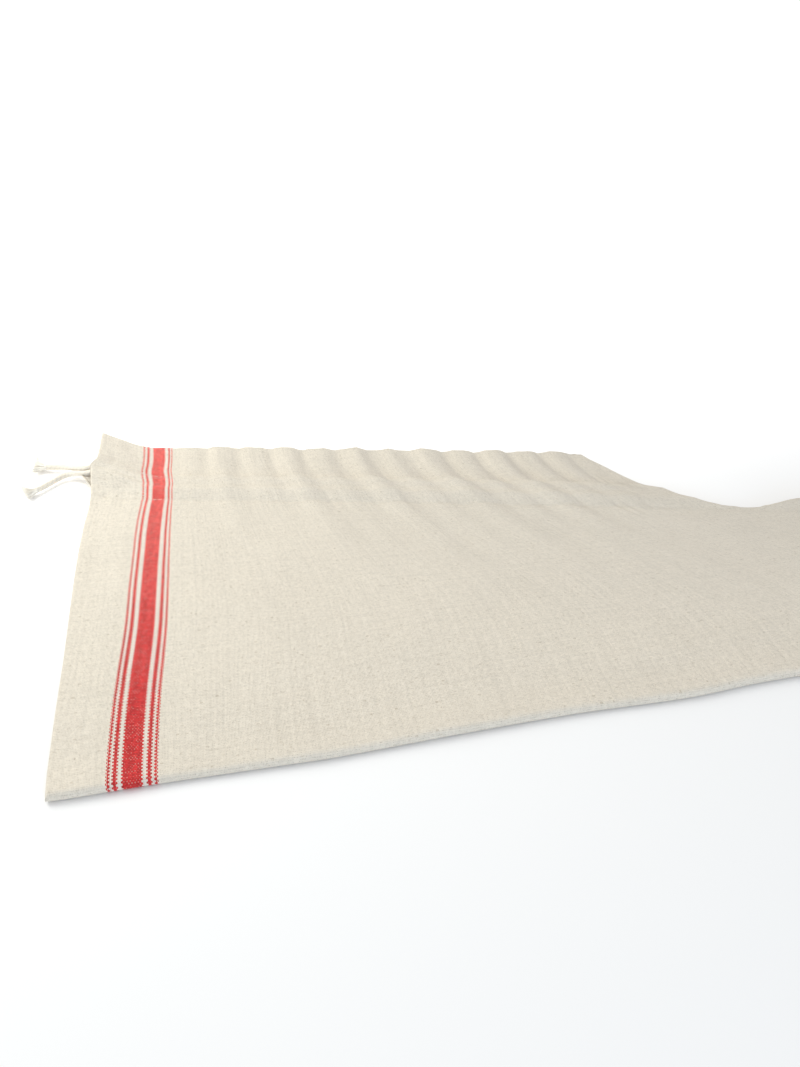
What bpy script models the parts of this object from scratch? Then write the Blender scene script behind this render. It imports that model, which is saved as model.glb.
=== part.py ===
"""A drawstring bread bag of linen towelling, lying flat and empty with its mouth a little drawn in.

Metres, +Z up. X runs along the bottom fold, Y runs from the fold to the mouth, and the floor is Z = 0.
Every piece is drafted from the bag's front left corner, and the whole is then shifted so that the
middle of the bag's footprint lies on the origin.
"""
import math
from collections import namedtuple

import bmesh
import bpy
from mathutils import Vector

# ---------------------------------------------------------------- driving sizes
BAG_WIDTH = 0.450            # along the bottom fold, seam to seam
CLOTH = 0.0010               # towelling with its turned-in seams
LAID_HEIGHT = 0.0032         # floor to upper face where the two layers lie quietly
FOLD_RISE = 0.0012           # extra height of the soft roll along the bottom fold
FOLD_REACH = 0.022           # how far that roll spreads back from the fold
LOW_FOLD = 0.16              # the roll's outermost line lies below its mid-height by this share
SEAM_ROUND = 0.0017          # rounding of the two side seams and the drawn shoulder
FOLD_ROUND = 0.0026          # rounding of the bottom fold

HEADER = 0.0325              # mouth edge to the casing's upper stitching
CASING = 0.025               # upper stitching to lower stitching
CASING_PUFF = 0.0032         # how far the cords lift the casing
FRILL_WAVE = 0.6             # dip of the mouth's edge over a gather, as a share of the gather's height
DRAW_DEPTH = 0.170           # how far below the mouth the drawing-in can be felt
PLAIN_MOUTH = 0.045          # the mouth's first stretch, left undrawn
MOUTH_END = 0.315            # where the drawn mouth meets the right side seam

HEADER_RISE = 0.0018         # the header's upper layer stands open by this much at the mouth
RISE_START = 0.018           # from here along the mouth
RISE_LENGTH = 0.025          # and fully after this length
CORNER_LIFT = 0.0109         # the mouth's left corner stands this far off the floor
LIFT_START = 0.205           # where the left seam begins to rise
LIFT_LENGTH = 0.055          # and the length over which it rises
LEAN_WIDTH = 0.080           # how far in from the left seam its lean is felt
STEP_IN = 0.0030             # the header's seam stands this far in from the casing's
STEP_START = 0.2400
STEP_LENGTH = 0.0055
STEP_WIDTH = 0.018           # how far in from the seam that step is felt

CORD_DIAMETER = 0.0030
CORD_SPREAD = 0.0050         # each run of the cord from the casing's middle line
EXIT_SPREAD = 0.0021         # the same where the two runs leave through the seam
CLEARANCE = 0.0003           # between pieces that touch
RUN_START = 0.0034           # the cord inside the casing starts this far in from the seam
RUN_END = 0.300              # and turns back here
JOINT_GAP = 0.0009           # between that run's ends and the free ends, which leave at an angle
SLOT_EASE = 0.0030           # room around the two cords in the seam's gap
TUFT_HEIGHT = 0.0066         # of the unravelled ends

# ---------------------------------------------------------------- tables
CurvePoint = namedtuple("CurvePoint", "at value")
Gather = namedtuple("Gather", "across width height reach")
RoutePoint = namedtuple("RoutePoint", "x y z")
Tuft = namedtuple("Tuft", "x y edge_x edge_y width")

# Bottom fold, depth at each place along it: nearly straight, as laid by hand.
FRONT_EDGE = [
    CurvePoint(0.000, -0.0033),
    CurvePoint(0.012, -0.0036),
    CurvePoint(0.026, -0.0034),
    CurvePoint(0.050, -0.0034),
    CurvePoint(0.088, -0.0040),
    CurvePoint(0.120, -0.0045),
    CurvePoint(0.180, -0.0028),
    CurvePoint(0.235, -0.0019),
    CurvePoint(0.290, -0.0031),
    CurvePoint(0.325, -0.0012),
    CurvePoint(0.360, -0.0005),
    CurvePoint(0.450, 0.0034),
]

# Left seam, how far it leans to the right at each depth: it bows out a little.
LEFT_SEAM = [
    CurvePoint(-0.004, 0.0000),
    CurvePoint(0.015, -0.0012),
    CurvePoint(0.085, -0.0024),
    CurvePoint(0.150, -0.0040),
    CurvePoint(0.185, -0.0038),
    CurvePoint(0.2175, -0.0020),
    CurvePoint(0.235, -0.0020),
    CurvePoint(0.250, -0.0014),
    CurvePoint(0.281, -0.0010),
]

# Share of the corner's lift at each place along the mouth.
CORNER_SHAPE = [
    CurvePoint(0.000, 1.00),
    CurvePoint(0.0085, 0.80),
    CurvePoint(0.0165, 0.60),
    CurvePoint(0.024, 0.32),
    CurvePoint(0.031, 0.11),
    CurvePoint(0.038, 0.00),
    CurvePoint(0.450, 0.00),
]

# Mouth edge, carried on past its right end as the line that the casing follows.
MOUTH_EDGE = [
    CurvePoint(0.000, 0.2808),
    CurvePoint(0.008, 0.2776),
    CurvePoint(0.020, 0.2743),
    CurvePoint(0.030, 0.2709),
    CurvePoint(0.045, 0.2673),
    CurvePoint(0.180, 0.2362),
    CurvePoint(0.315, 0.2050),
    CurvePoint(0.450, 0.1738),
]

# Drawn shoulder: the right seam from the mouth's end round to the bag's right side.
SHOULDER = [
    CurvePoint(0.315, 0.2050),
    CurvePoint(0.330, 0.1835),
    CurvePoint(0.348, 0.1605),
    CurvePoint(0.370, 0.1400),
    CurvePoint(0.395, 0.1292),
    CurvePoint(0.415, 0.1290),
    CurvePoint(0.435, 0.1305),
    CurvePoint(0.450, 0.1250),
]

# Soft gathers below the mouth: place across the flat bag, half width, height, reach down from the mouth.
GATHERS = [
    Gather(0.068, 0.015, 0.0012, 0.075),
    Gather(0.096, 0.018, 0.0028, 0.110),
    Gather(0.129, 0.020, 0.0021, 0.095),
    Gather(0.161, 0.018, 0.0036, 0.135),
    Gather(0.194, 0.021, 0.0027, 0.105),
    Gather(0.228, 0.019, 0.0042, 0.140),
    Gather(0.262, 0.019, 0.0029, 0.110),
    Gather(0.297, 0.021, 0.0040, 0.130),
    Gather(0.331, 0.018, 0.0031, 0.105),
    Gather(0.363, 0.019, 0.0040, 0.120),
    Gather(0.395, 0.018, 0.0028, 0.085),
    Gather(0.423, 0.016, 0.0032, 0.070),
]

# Free ends of the drawstring, from just inside the seam to where the yarn spreads into its tuft.
BACK_ROUTE = [
    RoutePoint(-0.0040, 0.2429, 0.0101),
    RoutePoint(-0.0083, 0.2445, 0.0093),
    RoutePoint(-0.0125, 0.2478, 0.0080),
    RoutePoint(-0.0172, 0.2521, 0.0062),
    RoutePoint(-0.0229, 0.2563, 0.0045),
    RoutePoint(-0.0284, 0.2585, 0.0038),
    RoutePoint(-0.0334, 0.2600, 0.0036),
]
FRONT_ROUTE = [
    RoutePoint(-0.0040, 0.2391, 0.0087),
    RoutePoint(-0.0083, 0.2408, 0.0078),
    RoutePoint(-0.0125, 0.2441, 0.0064),
    RoutePoint(-0.0170, 0.2468, 0.0046),
    RoutePoint(-0.0221, 0.2463, 0.0034),
    RoutePoint(-0.0267, 0.2429, 0.0030),
    RoutePoint(-0.0315, 0.2381, 0.0030),
    RoutePoint(-0.0363, 0.2336, 0.0032),
]

# Unravelled ends: middle, direction and width of the fan's far edge.
BACK_TUFT = Tuft(-0.0418, 0.2657, 0.00, -1.00, 0.0200)
FRONT_TUFT = Tuft(-0.0434, 0.2331, 0.41, -0.91, 0.0150)

# Mesh steps, in from each edge, close where the cloth turns
SEAM_STEPS = [0.0, 0.0004, 0.0010, 0.0018, 0.0045, 0.0085, 0.0130, 0.0185]
FOLD_STEPS = [0.0, 0.0004, 0.0012, 0.0027, 0.0055, 0.0095, 0.0145, 0.0210]
MOUTH_STEPS = [0.0, 0.0005, 0.0012, 0.0022, 0.0060, 0.0115, 0.0175, 0.0235, 0.0285, 0.0325,
               0.0360, 0.0400, 0.0440, 0.0480, 0.0520, 0.0560, 0.0600, 0.0660, 0.0740, 0.0850]
MIDDLE_ROWS = 4
COLUMN_PITCH = 0.0062
ROUTE_STEP = 0.0085

LINEN = (0.72, 0.66, 0.56, 1.0)
COTTON = (0.84, 0.79, 0.69, 1.0)


# ---------------------------------------------------------------- curves and rules
def ease(value):
    """Smooth step from 0 to 1."""
    value = min(max(value, 0.0), 1.0)
    return value * value * (3.0 - 2.0 * value)


def along(table, at):
    """Value of a smooth curve through a table's points."""
    last = len(table) - 2
    index = 0
    while index < last and at > table[index + 1].at:
        index += 1
    left, right = table[index], table[index + 1]
    before = table[max(index - 1, 0)]
    after = table[min(index + 2, last + 1)]
    span = right.at - left.at
    slope_left = (right.value - before.value) / (right.at - before.at)
    slope_right = (after.value - left.value) / (after.at - left.at)
    t = (at - left.at) / span
    return (left.value * (2 * t ** 3 - 3 * t ** 2 + 1)
            + slope_left * span * (t ** 3 - 2 * t ** 2 + t)
            + right.value * (3 * t ** 2 - 2 * t ** 3)
            + slope_right * span * (t ** 3 - t ** 2))


def swell(distance, reach):
    """A soft hump from 1 in the middle down to 0 at its reach."""
    return ease(1.0 - abs(distance) / reach)


MOUTH_SLOPE = ((MOUTH_EDGE[5].value - MOUTH_EDGE[4].value)
               / (MOUTH_EDGE[5].at - MOUTH_EDGE[4].at))
MOUTH_COSINE = 1.0 / math.hypot(1.0, MOUTH_SLOPE)


def below_mouth(x, y):
    """Distance of a point below the mouth's line."""
    return (along(MOUTH_EDGE, x) - y) * MOUTH_COSINE


def casing_middle(x):
    """Distance of the casing's middle line below the mouth: the cords leave near its upper stitching."""
    return HEADER + CASING / 2 - 0.0075 * (1.0 - ease(x / PLAIN_MOUTH))


def across(x, y):
    """Where a point lies across the flat, undrawn bag."""
    if x <= PLAIN_MOUTH:
        return x
    drawn_width = (MOUTH_END - PLAIN_MOUTH) / (BAG_WIDTH - PLAIN_MOUTH)
    drawn = ease(1.0 - below_mouth(x, y) / DRAW_DEPTH)
    return PLAIN_MOUTH + (x - PLAIN_MOUTH) / (1.0 - (1.0 - drawn_width) * drawn)


def top_edge(x):
    """Back edge of the bag's outline: the mouth, which waves over its gathers, then the shoulder."""
    if x > MOUTH_END:
        return along(SHOULDER, x)
    place = across(x, along(MOUTH_EDGE, x))
    wave = sum(gather.height * swell(place - gather.across, gather.width) for gather in GATHERS)
    return along(MOUTH_EDGE, x) - FRILL_WAVE * wave


def floor_lift(x, y):
    """Height of the lower layer's underside: on the floor but for the mouth's left corner."""
    near_corner = max(0.0, along(CORNER_SHAPE, x))
    return CORNER_LIFT * near_corner * ease((y - LIFT_START) / LIFT_LENGTH)


def upper_face(x, y):
    """Height of the upper layer's face over the lower layer's underside."""
    depth = below_mouth(x, y)
    height = LAID_HEIGHT
    height += FOLD_RISE * swell(y - along(FRONT_EDGE, x), FOLD_REACH)
    height += HEADER_RISE * ease(1.0 - depth / HEADER) * ease((x - RISE_START) / RISE_LENGTH)
    puff = (depth - casing_middle(x)) / (CASING / 2)
    height += CASING_PUFF * max(0.0, 1.0 - puff ** 4)
    place = across(x, y)
    for gather in GATHERS:
        fade = ease(1.0 - depth / gather.reach)
        height += gather.height * swell(place - gather.across, gather.width) * fade
    return height


def leaning(x, y):
    """A drafted place across the bag, moved by the lean of the left seam near it."""
    lean = along(LEFT_SEAM, y) * (1.0 - ease(x / LEAN_WIDTH))
    step = STEP_IN * ease((y - STEP_START) / STEP_LENGTH) * (1.0 - ease(x / STEP_WIDTH))
    return x + lean + step


def rounding(distance, radius):
    """Share of the full height at a distance in from a rounded edge."""
    inside = 1.0 - min(max(distance / radius, 0.0), 1.0)
    return math.sqrt(1.0 - inside * inside)


# ---------------------------------------------------------------- the bag
def column_places():
    """Places of the mesh's columns, from the left seam to the right one, one of them at the mouth's end."""
    first, last = SEAM_STEPS[-1], BAG_WIDTH - SEAM_STEPS[-1]
    places = list(SEAM_STEPS)
    for start, end in ((first, MOUTH_END), (MOUTH_END, last)):
        count = round((end - start) / COLUMN_PITCH)
        places += [start + (end - start) * step / count for step in range(1, count + 1)]
    places += [BAG_WIDTH - step for step in reversed(SEAM_STEPS[:-1])]
    return places


def column_rows(x):
    """Depths of one column's points, from the bottom fold to the mouth or the shoulder."""
    front, back = along(FRONT_EDGE, x), top_edge(x)
    rows = [front + step for step in FOLD_STEPS]
    start, end = rows[-1], back - MOUTH_STEPS[-1]
    rows += [start + (end - start) * step / (MIDDLE_ROWS + 1) for step in range(1, MIDDLE_ROWS + 1)]
    rows += [back - step for step in reversed(MOUTH_STEPS)]
    return rows


def layer_heights(x, y):
    """Heights of the lower and the upper layer's outer faces at a point."""
    under = floor_lift(x, y)
    over = under + upper_face(x, y)
    full = rounding(x, SEAM_ROUND) * rounding(BAG_WIDTH - x, SEAM_ROUND)
    full *= rounding(y - along(FRONT_EDGE, x), FOLD_ROUND)
    if x > MOUTH_END:
        slope = (top_edge(x) - top_edge(x - 0.001)) / 0.001
        full *= rounding((top_edge(x) - y) / math.hypot(1.0, slope), SEAM_ROUND)
    middle = under + (over - under) * (0.5 - LOW_FOLD * swell(y - along(FRONT_EDGE, x), FOLD_REACH))
    return middle + (under - middle) * full, middle + (over - middle) * full


def make_bag(collection, material):
    """One pillowcase shell: two layers joined at the fold, the seams and the shoulder, open at the mouth."""
    columns = column_places()
    rows_by_column = [column_rows(x) for x in columns]
    row_count = len(rows_by_column[0])
    sheet = bmesh.new()
    lower, upper = [], []
    for place, (x, rows) in enumerate(zip(columns, rows_by_column)):
        side = place in (0, len(columns) - 1)
        lower_line, upper_line = [], []
        for number, y in enumerate(rows):
            under, over = layer_heights(x, y)
            shoulder = number == row_count - 1 and x >= MOUTH_END
            place_x = leaning(x, y)
            point = sheet.verts.new((place_x, y, under))
            joined = side or number == 0 or shoulder
            lower_line.append(point)
            upper_line.append(point if joined else sheet.verts.new((place_x, y, over)))
        lower.append(lower_line)
        upper.append(upper_line)
    for place in range(len(columns) - 1):
        for number in range(row_count - 1):
            for layer, turned in ((upper, False), (lower, True)):
                ring = [layer[place][number], layer[place + 1][number],
                        layer[place + 1][number + 1], layer[place][number + 1]]
                sheet.faces.new(list(reversed(ring)) if turned else ring)
    mesh = bpy.data.meshes.new("bag")
    sheet.to_mesh(mesh)
    sheet.free()
    bag = bpy.data.objects.new("bag", mesh)
    mesh.materials.append(material)
    collection.objects.link(bag)
    thickness = bag.modifiers.new("cloth", "SOLIDIFY")
    thickness.thickness = CLOTH
    thickness.offset = -1.0
    thickness.use_even_offset = True
    thickness.use_rim = True
    return bag


def cut_cord_slot(bag, cutters):
    """The gap left in the side seam, where both ends of the drawstring leave the casing."""
    middle = cord_point(RUN_START / 2, 0.0)
    bpy.ops.mesh.primitive_cube_add(size=1.0, location=middle)
    cutter = bpy.context.object
    cutter.name = "seam_gap_cutter"
    cutter.scale = (3 * RUN_START, 2 * EXIT_SPREAD + CORD_DIAMETER + SLOT_EASE, CORD_DIAMETER + SLOT_EASE)
    cutter.hide_render = True
    cutter.display_type = "WIRE"
    move_to(cutter, cutters)
    gap = bag.modifiers.new("seam gap", "BOOLEAN")
    gap.operation = "DIFFERENCE"
    gap.object = cutter
    return cutter


# ---------------------------------------------------------------- the drawstring
def cord_point(x, offset):
    """A point of the cord's run inside the casing, offset across it towards the mouth."""
    y = along(MOUTH_EDGE, x) - (casing_middle(x) - offset) / MOUTH_COSINE
    z = floor_lift(x, y) + CLOTH + CLEARANCE + CORD_DIAMETER / 2
    return Vector((leaning(x, y), y, z))


def run_spread(x):
    """The two runs lie closer together where they leave through the seam."""
    return EXIT_SPREAD + (CORD_SPREAD - EXIT_SPREAD) * ease(x / PLAIN_MOUTH)


def casing_run():
    """Route of the drawstring inside the casing: along the back, round, and along the front."""
    count = round((RUN_END - RUN_START) / ROUTE_STEP)
    places = [RUN_START + (RUN_END - RUN_START) * step / count for step in range(count + 1)]
    back = [cord_point(x, run_spread(x)) for x in places]
    front = [cord_point(x, -run_spread(x)) for x in reversed(places)]
    turn = []
    for step in range(1, 4):
        angle = math.pi * step / 4
        turn.append(cord_point(RUN_END + CORD_SPREAD * math.sin(angle), CORD_SPREAD * math.cos(angle)))
    return back + turn + front


def free_route(points, offset):
    """Route of one free end, from the seam gap on."""
    start = cord_point(RUN_START, offset)
    start.x -= JOINT_GAP
    anchors = [start] + [Vector(point) for point in points]
    route = []
    for index in range(len(anchors) - 1):
        before = anchors[max(index - 1, 0)]
        here, there = anchors[index], anchors[index + 1]
        after = anchors[min(index + 2, len(anchors) - 1)]
        for step in range(2):
            t = step / 2
            route.append(0.5 * (2 * here + (there - before) * t
                                + (2 * before - 5 * here + 4 * there - after) * t ** 2
                                + (3 * here - before - 3 * there + after) * t ** 3))
    return route + [anchors[-1]]


def make_cord(name, route, collection, material):
    """A round cord along a route."""
    curve = bpy.data.curves.new(name, "CURVE")
    curve.dimensions = "3D"
    curve.bevel_depth = CORD_DIAMETER / 2
    curve.bevel_resolution = 2
    curve.use_fill_caps = True
    line = curve.splines.new("POLY")
    line.points.add(len(route) - 1)
    for point, place in zip(line.points, route):
        point.co = (*place, 1.0)
    curve.materials.append(material)
    cord = bpy.data.objects.new(name, curve)
    collection.objects.link(cord)
    return cord


def make_tuft(name, route, tuft, collection, material):
    """The unravelled end of the cord: its yarns spread into a flat fan."""
    end = route[-1]
    heading = end - route[-2]
    heading.z = 0.0
    heading.normalize()
    near = end + heading * CLEARANCE
    far = Vector((tuft.x, tuft.y, TUFT_HEIGHT / 2))
    near_side = Vector((-heading.y, heading.x, 0.0))
    far_side = Vector((tuft.edge_x, tuft.edge_y, 0.0)).normalized()
    bpy.ops.mesh.primitive_cone_add(vertices=20, radius1=CORD_DIAMETER / 2, radius2=tuft.width / 2,
                                    depth=1.0, end_fill_type="NGON")
    fan = bpy.context.object
    fan.name = name
    fan.data.name = name
    for vertex in fan.data.vertices:
        reach = vertex.co.z + 0.5
        side = near_side.lerp(far_side, reach).normalized()
        flat = 1.0 - (1.0 - TUFT_HEIGHT / tuft.width) * reach
        vertex.co = near.lerp(far, reach) + side * vertex.co.x + Vector((0.0, 0.0, vertex.co.y * flat))
    soft = fan.modifiers.new("soft edge", "BEVEL")
    soft.width = 0.0010
    soft.segments = 2
    soft.angle_limit = math.radians(50)
    fan.data.materials.append(material)
    move_to(fan, collection)
    return fan


# ---------------------------------------------------------------- scene
def clear_scene():
    for item in list(bpy.data.objects):
        bpy.data.objects.remove(item, do_unlink=True)


def new_collection(name):
    collection = bpy.data.collections.new(name)
    bpy.context.scene.collection.children.link(collection)
    return collection


def move_to(item, collection):
    for owner in list(item.users_collection):
        owner.objects.unlink(item)
    collection.objects.link(item)


def cloth_material(name, colour, roughness):
    material = bpy.data.materials.new(name)
    material.use_nodes = True
    surface = material.node_tree.nodes["Principled BSDF"]
    surface.inputs["Base Color"].default_value = colour
    surface.inputs["Roughness"].default_value = roughness
    surface.inputs["Metallic"].default_value = 0.0
    return material


def centre_on_footprint(items):
    """Shift the drafted pieces so that the middle of the bag's footprint is the origin."""
    back = along(MOUTH_EDGE, 0.0)
    front = min(along(FRONT_EDGE, x) for x in column_places())
    left = min(leaning(0.0, y) for y in column_rows(0.0))
    shift = Vector((-(left + BAG_WIDTH) / 2, -(front + back) / 2, 0.0))
    for item in items:
        item.location = item.location + shift


def main():
    clear_scene()
    bag_collection = new_collection("linen bread bag")
    cutters = new_collection("cutters")
    linen = cloth_material("linen towelling", LINEN, 0.9)
    cotton = cloth_material("cotton cord", COTTON, 0.85)

    bag = make_bag(bag_collection, linen)
    cutter = cut_cord_slot(bag, cutters)
    pieces = [bag, cutter, make_cord("cord_in_casing", casing_run(), bag_collection, cotton)]
    for end, points, offset, tuft in (("back", BACK_ROUTE, EXIT_SPREAD, BACK_TUFT),
                                      ("front", FRONT_ROUTE, -EXIT_SPREAD, FRONT_TUFT)):
        route = free_route(points, offset)
        pieces.append(make_cord("cord_end_" + end, route, bag_collection, cotton))
        pieces.append(make_tuft("tuft_" + end, route, tuft, bag_collection, cotton))
    centre_on_footprint(pieces)


main()
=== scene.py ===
"""The look of a drawstring bread bag of striped linen towelling, lying flat and empty.

Metres, +Z up. Every piece is drafted from the bag's front left corner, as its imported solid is, and
moved by SHIFT to the place where that solid lies.
"""
import math
import random
from collections import namedtuple

import bpy
import numpy as np
from mathutils import Matrix, Vector


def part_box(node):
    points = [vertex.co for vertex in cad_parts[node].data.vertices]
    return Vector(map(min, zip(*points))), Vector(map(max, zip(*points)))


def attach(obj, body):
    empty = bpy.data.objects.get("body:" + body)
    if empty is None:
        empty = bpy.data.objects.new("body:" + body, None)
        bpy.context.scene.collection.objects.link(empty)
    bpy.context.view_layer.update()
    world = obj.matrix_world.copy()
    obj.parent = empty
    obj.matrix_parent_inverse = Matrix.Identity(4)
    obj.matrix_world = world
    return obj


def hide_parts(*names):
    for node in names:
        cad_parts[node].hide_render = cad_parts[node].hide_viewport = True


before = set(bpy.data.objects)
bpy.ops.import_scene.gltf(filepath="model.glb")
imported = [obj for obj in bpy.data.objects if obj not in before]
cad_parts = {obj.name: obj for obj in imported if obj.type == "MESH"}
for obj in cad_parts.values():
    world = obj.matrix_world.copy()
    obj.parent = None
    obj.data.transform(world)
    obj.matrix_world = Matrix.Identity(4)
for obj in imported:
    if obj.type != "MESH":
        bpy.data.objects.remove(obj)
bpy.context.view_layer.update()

bl_info = {
    "name": "Linen bread bag",
    "version": (1, 0, 0),
    "blender": (4, 5, 0),
    "location": "3D View > Sidebar > Bread bag",
    "description": "Sews the cloth, stitching and drawstring of a striped linen bread bag",
    "category": "Add Mesh",
}

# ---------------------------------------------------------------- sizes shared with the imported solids
BAG_WIDTH = 0.450            # along the bottom fold, seam to seam
LAID_HEIGHT = 0.0032         # floor to upper face where the two layers lie quietly
FOLD_RISE = 0.0012           # extra height of the soft roll along the bottom fold
FOLD_REACH = 0.022           # how far that roll spreads back from the fold
LOW_FOLD = 0.16              # the roll's outermost line lies below its mid-height by this share
SEAM_ROUND = 0.0017          # rounding of the two side seams and the drawn shoulder
FOLD_ROUND = 0.0026          # rounding of the bottom fold
HEADER = 0.0325              # mouth edge to the casing's upper stitching
CASING = 0.025               # upper stitching to lower stitching
CASING_PUFF = 0.0032         # how far the cords lift the casing
FRILL_WAVE = 0.6             # dip of the mouth's edge over a gather, as a share of the gather's height
DRAW_DEPTH = 0.170           # how far below the mouth the drawing-in can be felt
PLAIN_MOUTH = 0.045          # the mouth's first stretch, left undrawn
MOUTH_END = 0.315            # where the drawn mouth meets the right side seam
HEADER_RISE = 0.0018         # the header's upper layer stands open by this much at the mouth
RISE_START = 0.018           # from here along the mouth
RISE_LENGTH = 0.025          # and fully after this length
CORNER_LIFT = 0.0109         # the mouth's left corner stands this far off the floor
LIFT_START = 0.205           # where the left seam begins to rise
LIFT_LENGTH = 0.055          # and the length over which it rises
LEAN_WIDTH = 0.080           # how far in from the left seam its lean is felt
STEP_IN = 0.0030             # the header's seam stands this far in from the casing's
STEP_START = 0.2400
STEP_LENGTH = 0.0055
STEP_WIDTH = 0.018           # how far in from the seam that step is felt
SOLID_CLOTH = 0.0010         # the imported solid's wall, on which the cords lie
CORD_SPREAD = 0.0050         # each run of the cord from the casing's middle line
EXIT_SPREAD = 0.0021         # the same where the two runs leave through the seam
EXIT_RISE = 0.0075           # and there they lie this much nearer to the mouth
CLEARANCE = 0.0003           # between pieces that touch
RUN_START = 0.0034           # the cord inside the casing starts this far in from the seam
JOINT_GAP = 0.0009           # between the cord's run in the casing and its free ends
TUFT_HEIGHT = 0.0066         # of the unravelled ends
MOUTH_CORNER = 0.2808        # depth of the mouth's left corner

BAG_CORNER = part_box("bag")[1]
SHIFT = Vector((BAG_CORNER[0] - BAG_WIDTH, BAG_CORNER[1] - MOUTH_CORNER, 0.0))

CurvePoint = namedtuple("CurvePoint", "at value")
Gather = namedtuple("Gather", "across width height reach")
Crease = namedtuple("Crease", "x_from y_from x_to y_to height width")
Wave = namedtuple("Wave", "length heading start height")
RoutePoint = namedtuple("RoutePoint", "x y z")
Tuft = namedtuple("Tuft", "x y edge_x edge_y width")
Streaks = namedtuple("Streaks", "across along seed low high to_low to_high")
Light = namedtuple("Light", "name place size colour power")


def table(kind, *rows):
    """A table whose rows have named fields."""
    return [kind(*row) for row in rows]


# Bottom fold, depth at each place along it.
FRONT_EDGE = table(
    CurvePoint,
    (0.000, -0.0033), (0.012, -0.0036), (0.026, -0.0034), (0.050, -0.0034), (0.088, -0.0040),
    (0.120, -0.0045), (0.180, -0.0028), (0.235, -0.0019), (0.290, -0.0031), (0.325, -0.0012),
    (0.360, -0.0005), (0.450, 0.0034),
)
# Left seam, lean to the right at each depth.
LEFT_SEAM = table(
    CurvePoint,
    (-0.004, 0.0000), (0.015, -0.0012), (0.085, -0.0024), (0.150, -0.0040), (0.185, -0.0038),
    (0.2175, -0.0020), (0.235, -0.0020), (0.250, -0.0014), (0.281, -0.0010),
)
# Share of the corner's lift at each place along the mouth.
CORNER_SHAPE = table(
    CurvePoint,
    (0.000, 1.00), (0.0085, 0.80), (0.0165, 0.60), (0.024, 0.32), (0.031, 0.11), (0.038, 0.00),
    (0.450, 0.00),
)
# Mouth edge, carried on past its right end as the line that the casing follows.
MOUTH_EDGE = table(
    CurvePoint,
    (0.000, 0.2808), (0.008, 0.2776), (0.020, 0.2743), (0.030, 0.2709), (0.045, 0.2673),
    (0.180, 0.2362), (0.315, 0.2050), (0.450, 0.1738),
)
# Drawn shoulder, from the mouth's end round to the bag's right side.
SHOULDER = table(
    CurvePoint,
    (0.315, 0.2050), (0.330, 0.1835), (0.348, 0.1605), (0.370, 0.1400), (0.395, 0.1292),
    (0.415, 0.1290), (0.435, 0.1305), (0.450, 0.1250),
)
# Soft gathers: place across the flat bag, half width, height, reach down from the mouth.
GATHERS = table(
    Gather,
    (0.068, 0.015, 0.0012, 0.075), (0.096, 0.018, 0.0028, 0.110), (0.129, 0.020, 0.0021, 0.095),
    (0.161, 0.018, 0.0036, 0.135), (0.194, 0.021, 0.0027, 0.105), (0.228, 0.019, 0.0042, 0.140),
    (0.262, 0.019, 0.0029, 0.110), (0.297, 0.021, 0.0040, 0.130), (0.331, 0.018, 0.0031, 0.105),
    (0.363, 0.019, 0.0040, 0.120), (0.395, 0.018, 0.0028, 0.085), (0.423, 0.016, 0.0032, 0.070),
)
# Free ends of the drawstring, from just inside the seam to where the yarn spreads into its tuft.
CORD_ROUTES = {
    "back": table(
        RoutePoint,
        (-0.0040, 0.2429, 0.0101), (-0.0083, 0.2445, 0.0093), (-0.0125, 0.2478, 0.0080),
        (-0.0172, 0.2521, 0.0062), (-0.0229, 0.2563, 0.0045), (-0.0284, 0.2585, 0.0038),
        (-0.0334, 0.2600, 0.0036),
    ),
    "front": table(
        RoutePoint,
        (-0.0040, 0.2391, 0.0087), (-0.0083, 0.2408, 0.0078), (-0.0125, 0.2441, 0.0064),
        (-0.0170, 0.2468, 0.0046), (-0.0221, 0.2463, 0.0034), (-0.0267, 0.2429, 0.0030),
        (-0.0315, 0.2381, 0.0030), (-0.0363, 0.2336, 0.0032),
    ),
}
EXIT_OFFSETS = {"back": EXIT_SPREAD, "front": -EXIT_SPREAD}
# Unravelled ends: middle, direction and width of the fan's far edge.
TUFTS = {
    "back": Tuft(-0.0418, 0.2657, 0.00, -1.00, 0.0200),
    "front": Tuft(-0.0434, 0.2331, 0.41, -0.91, 0.0150),
}

# ---------------------------------------------------------------- the cloth's own small forms
# Stripe, its middle across the bag at each depth: the warp drifts a little, and jogs at the casing.
STRIPE_PLACE = table(
    CurvePoint,
    (-0.004, 0.0355), (0.020, 0.0355), (0.044, 0.0360), (0.077, 0.0375), (0.095, 0.0384),
    (0.122, 0.0390), (0.164, 0.0398), (0.200, 0.0404), (0.217, 0.0411), (0.225, 0.0411),
    (0.233, 0.0402), (0.241, 0.0392), (0.250, 0.0396), (0.258, 0.0396), (0.268, 0.0392),
    (0.281, 0.0388),
)
# The warp lies closer together towards the mouth, as a share of its pitch at each depth.
WARP_CLOSENESS = table(
    CurvePoint,
    (-0.004, 0.975), (0.046, 0.975), (0.090, 0.965), (0.140, 0.940), (0.190, 0.930), (0.281, 0.925),
)
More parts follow.
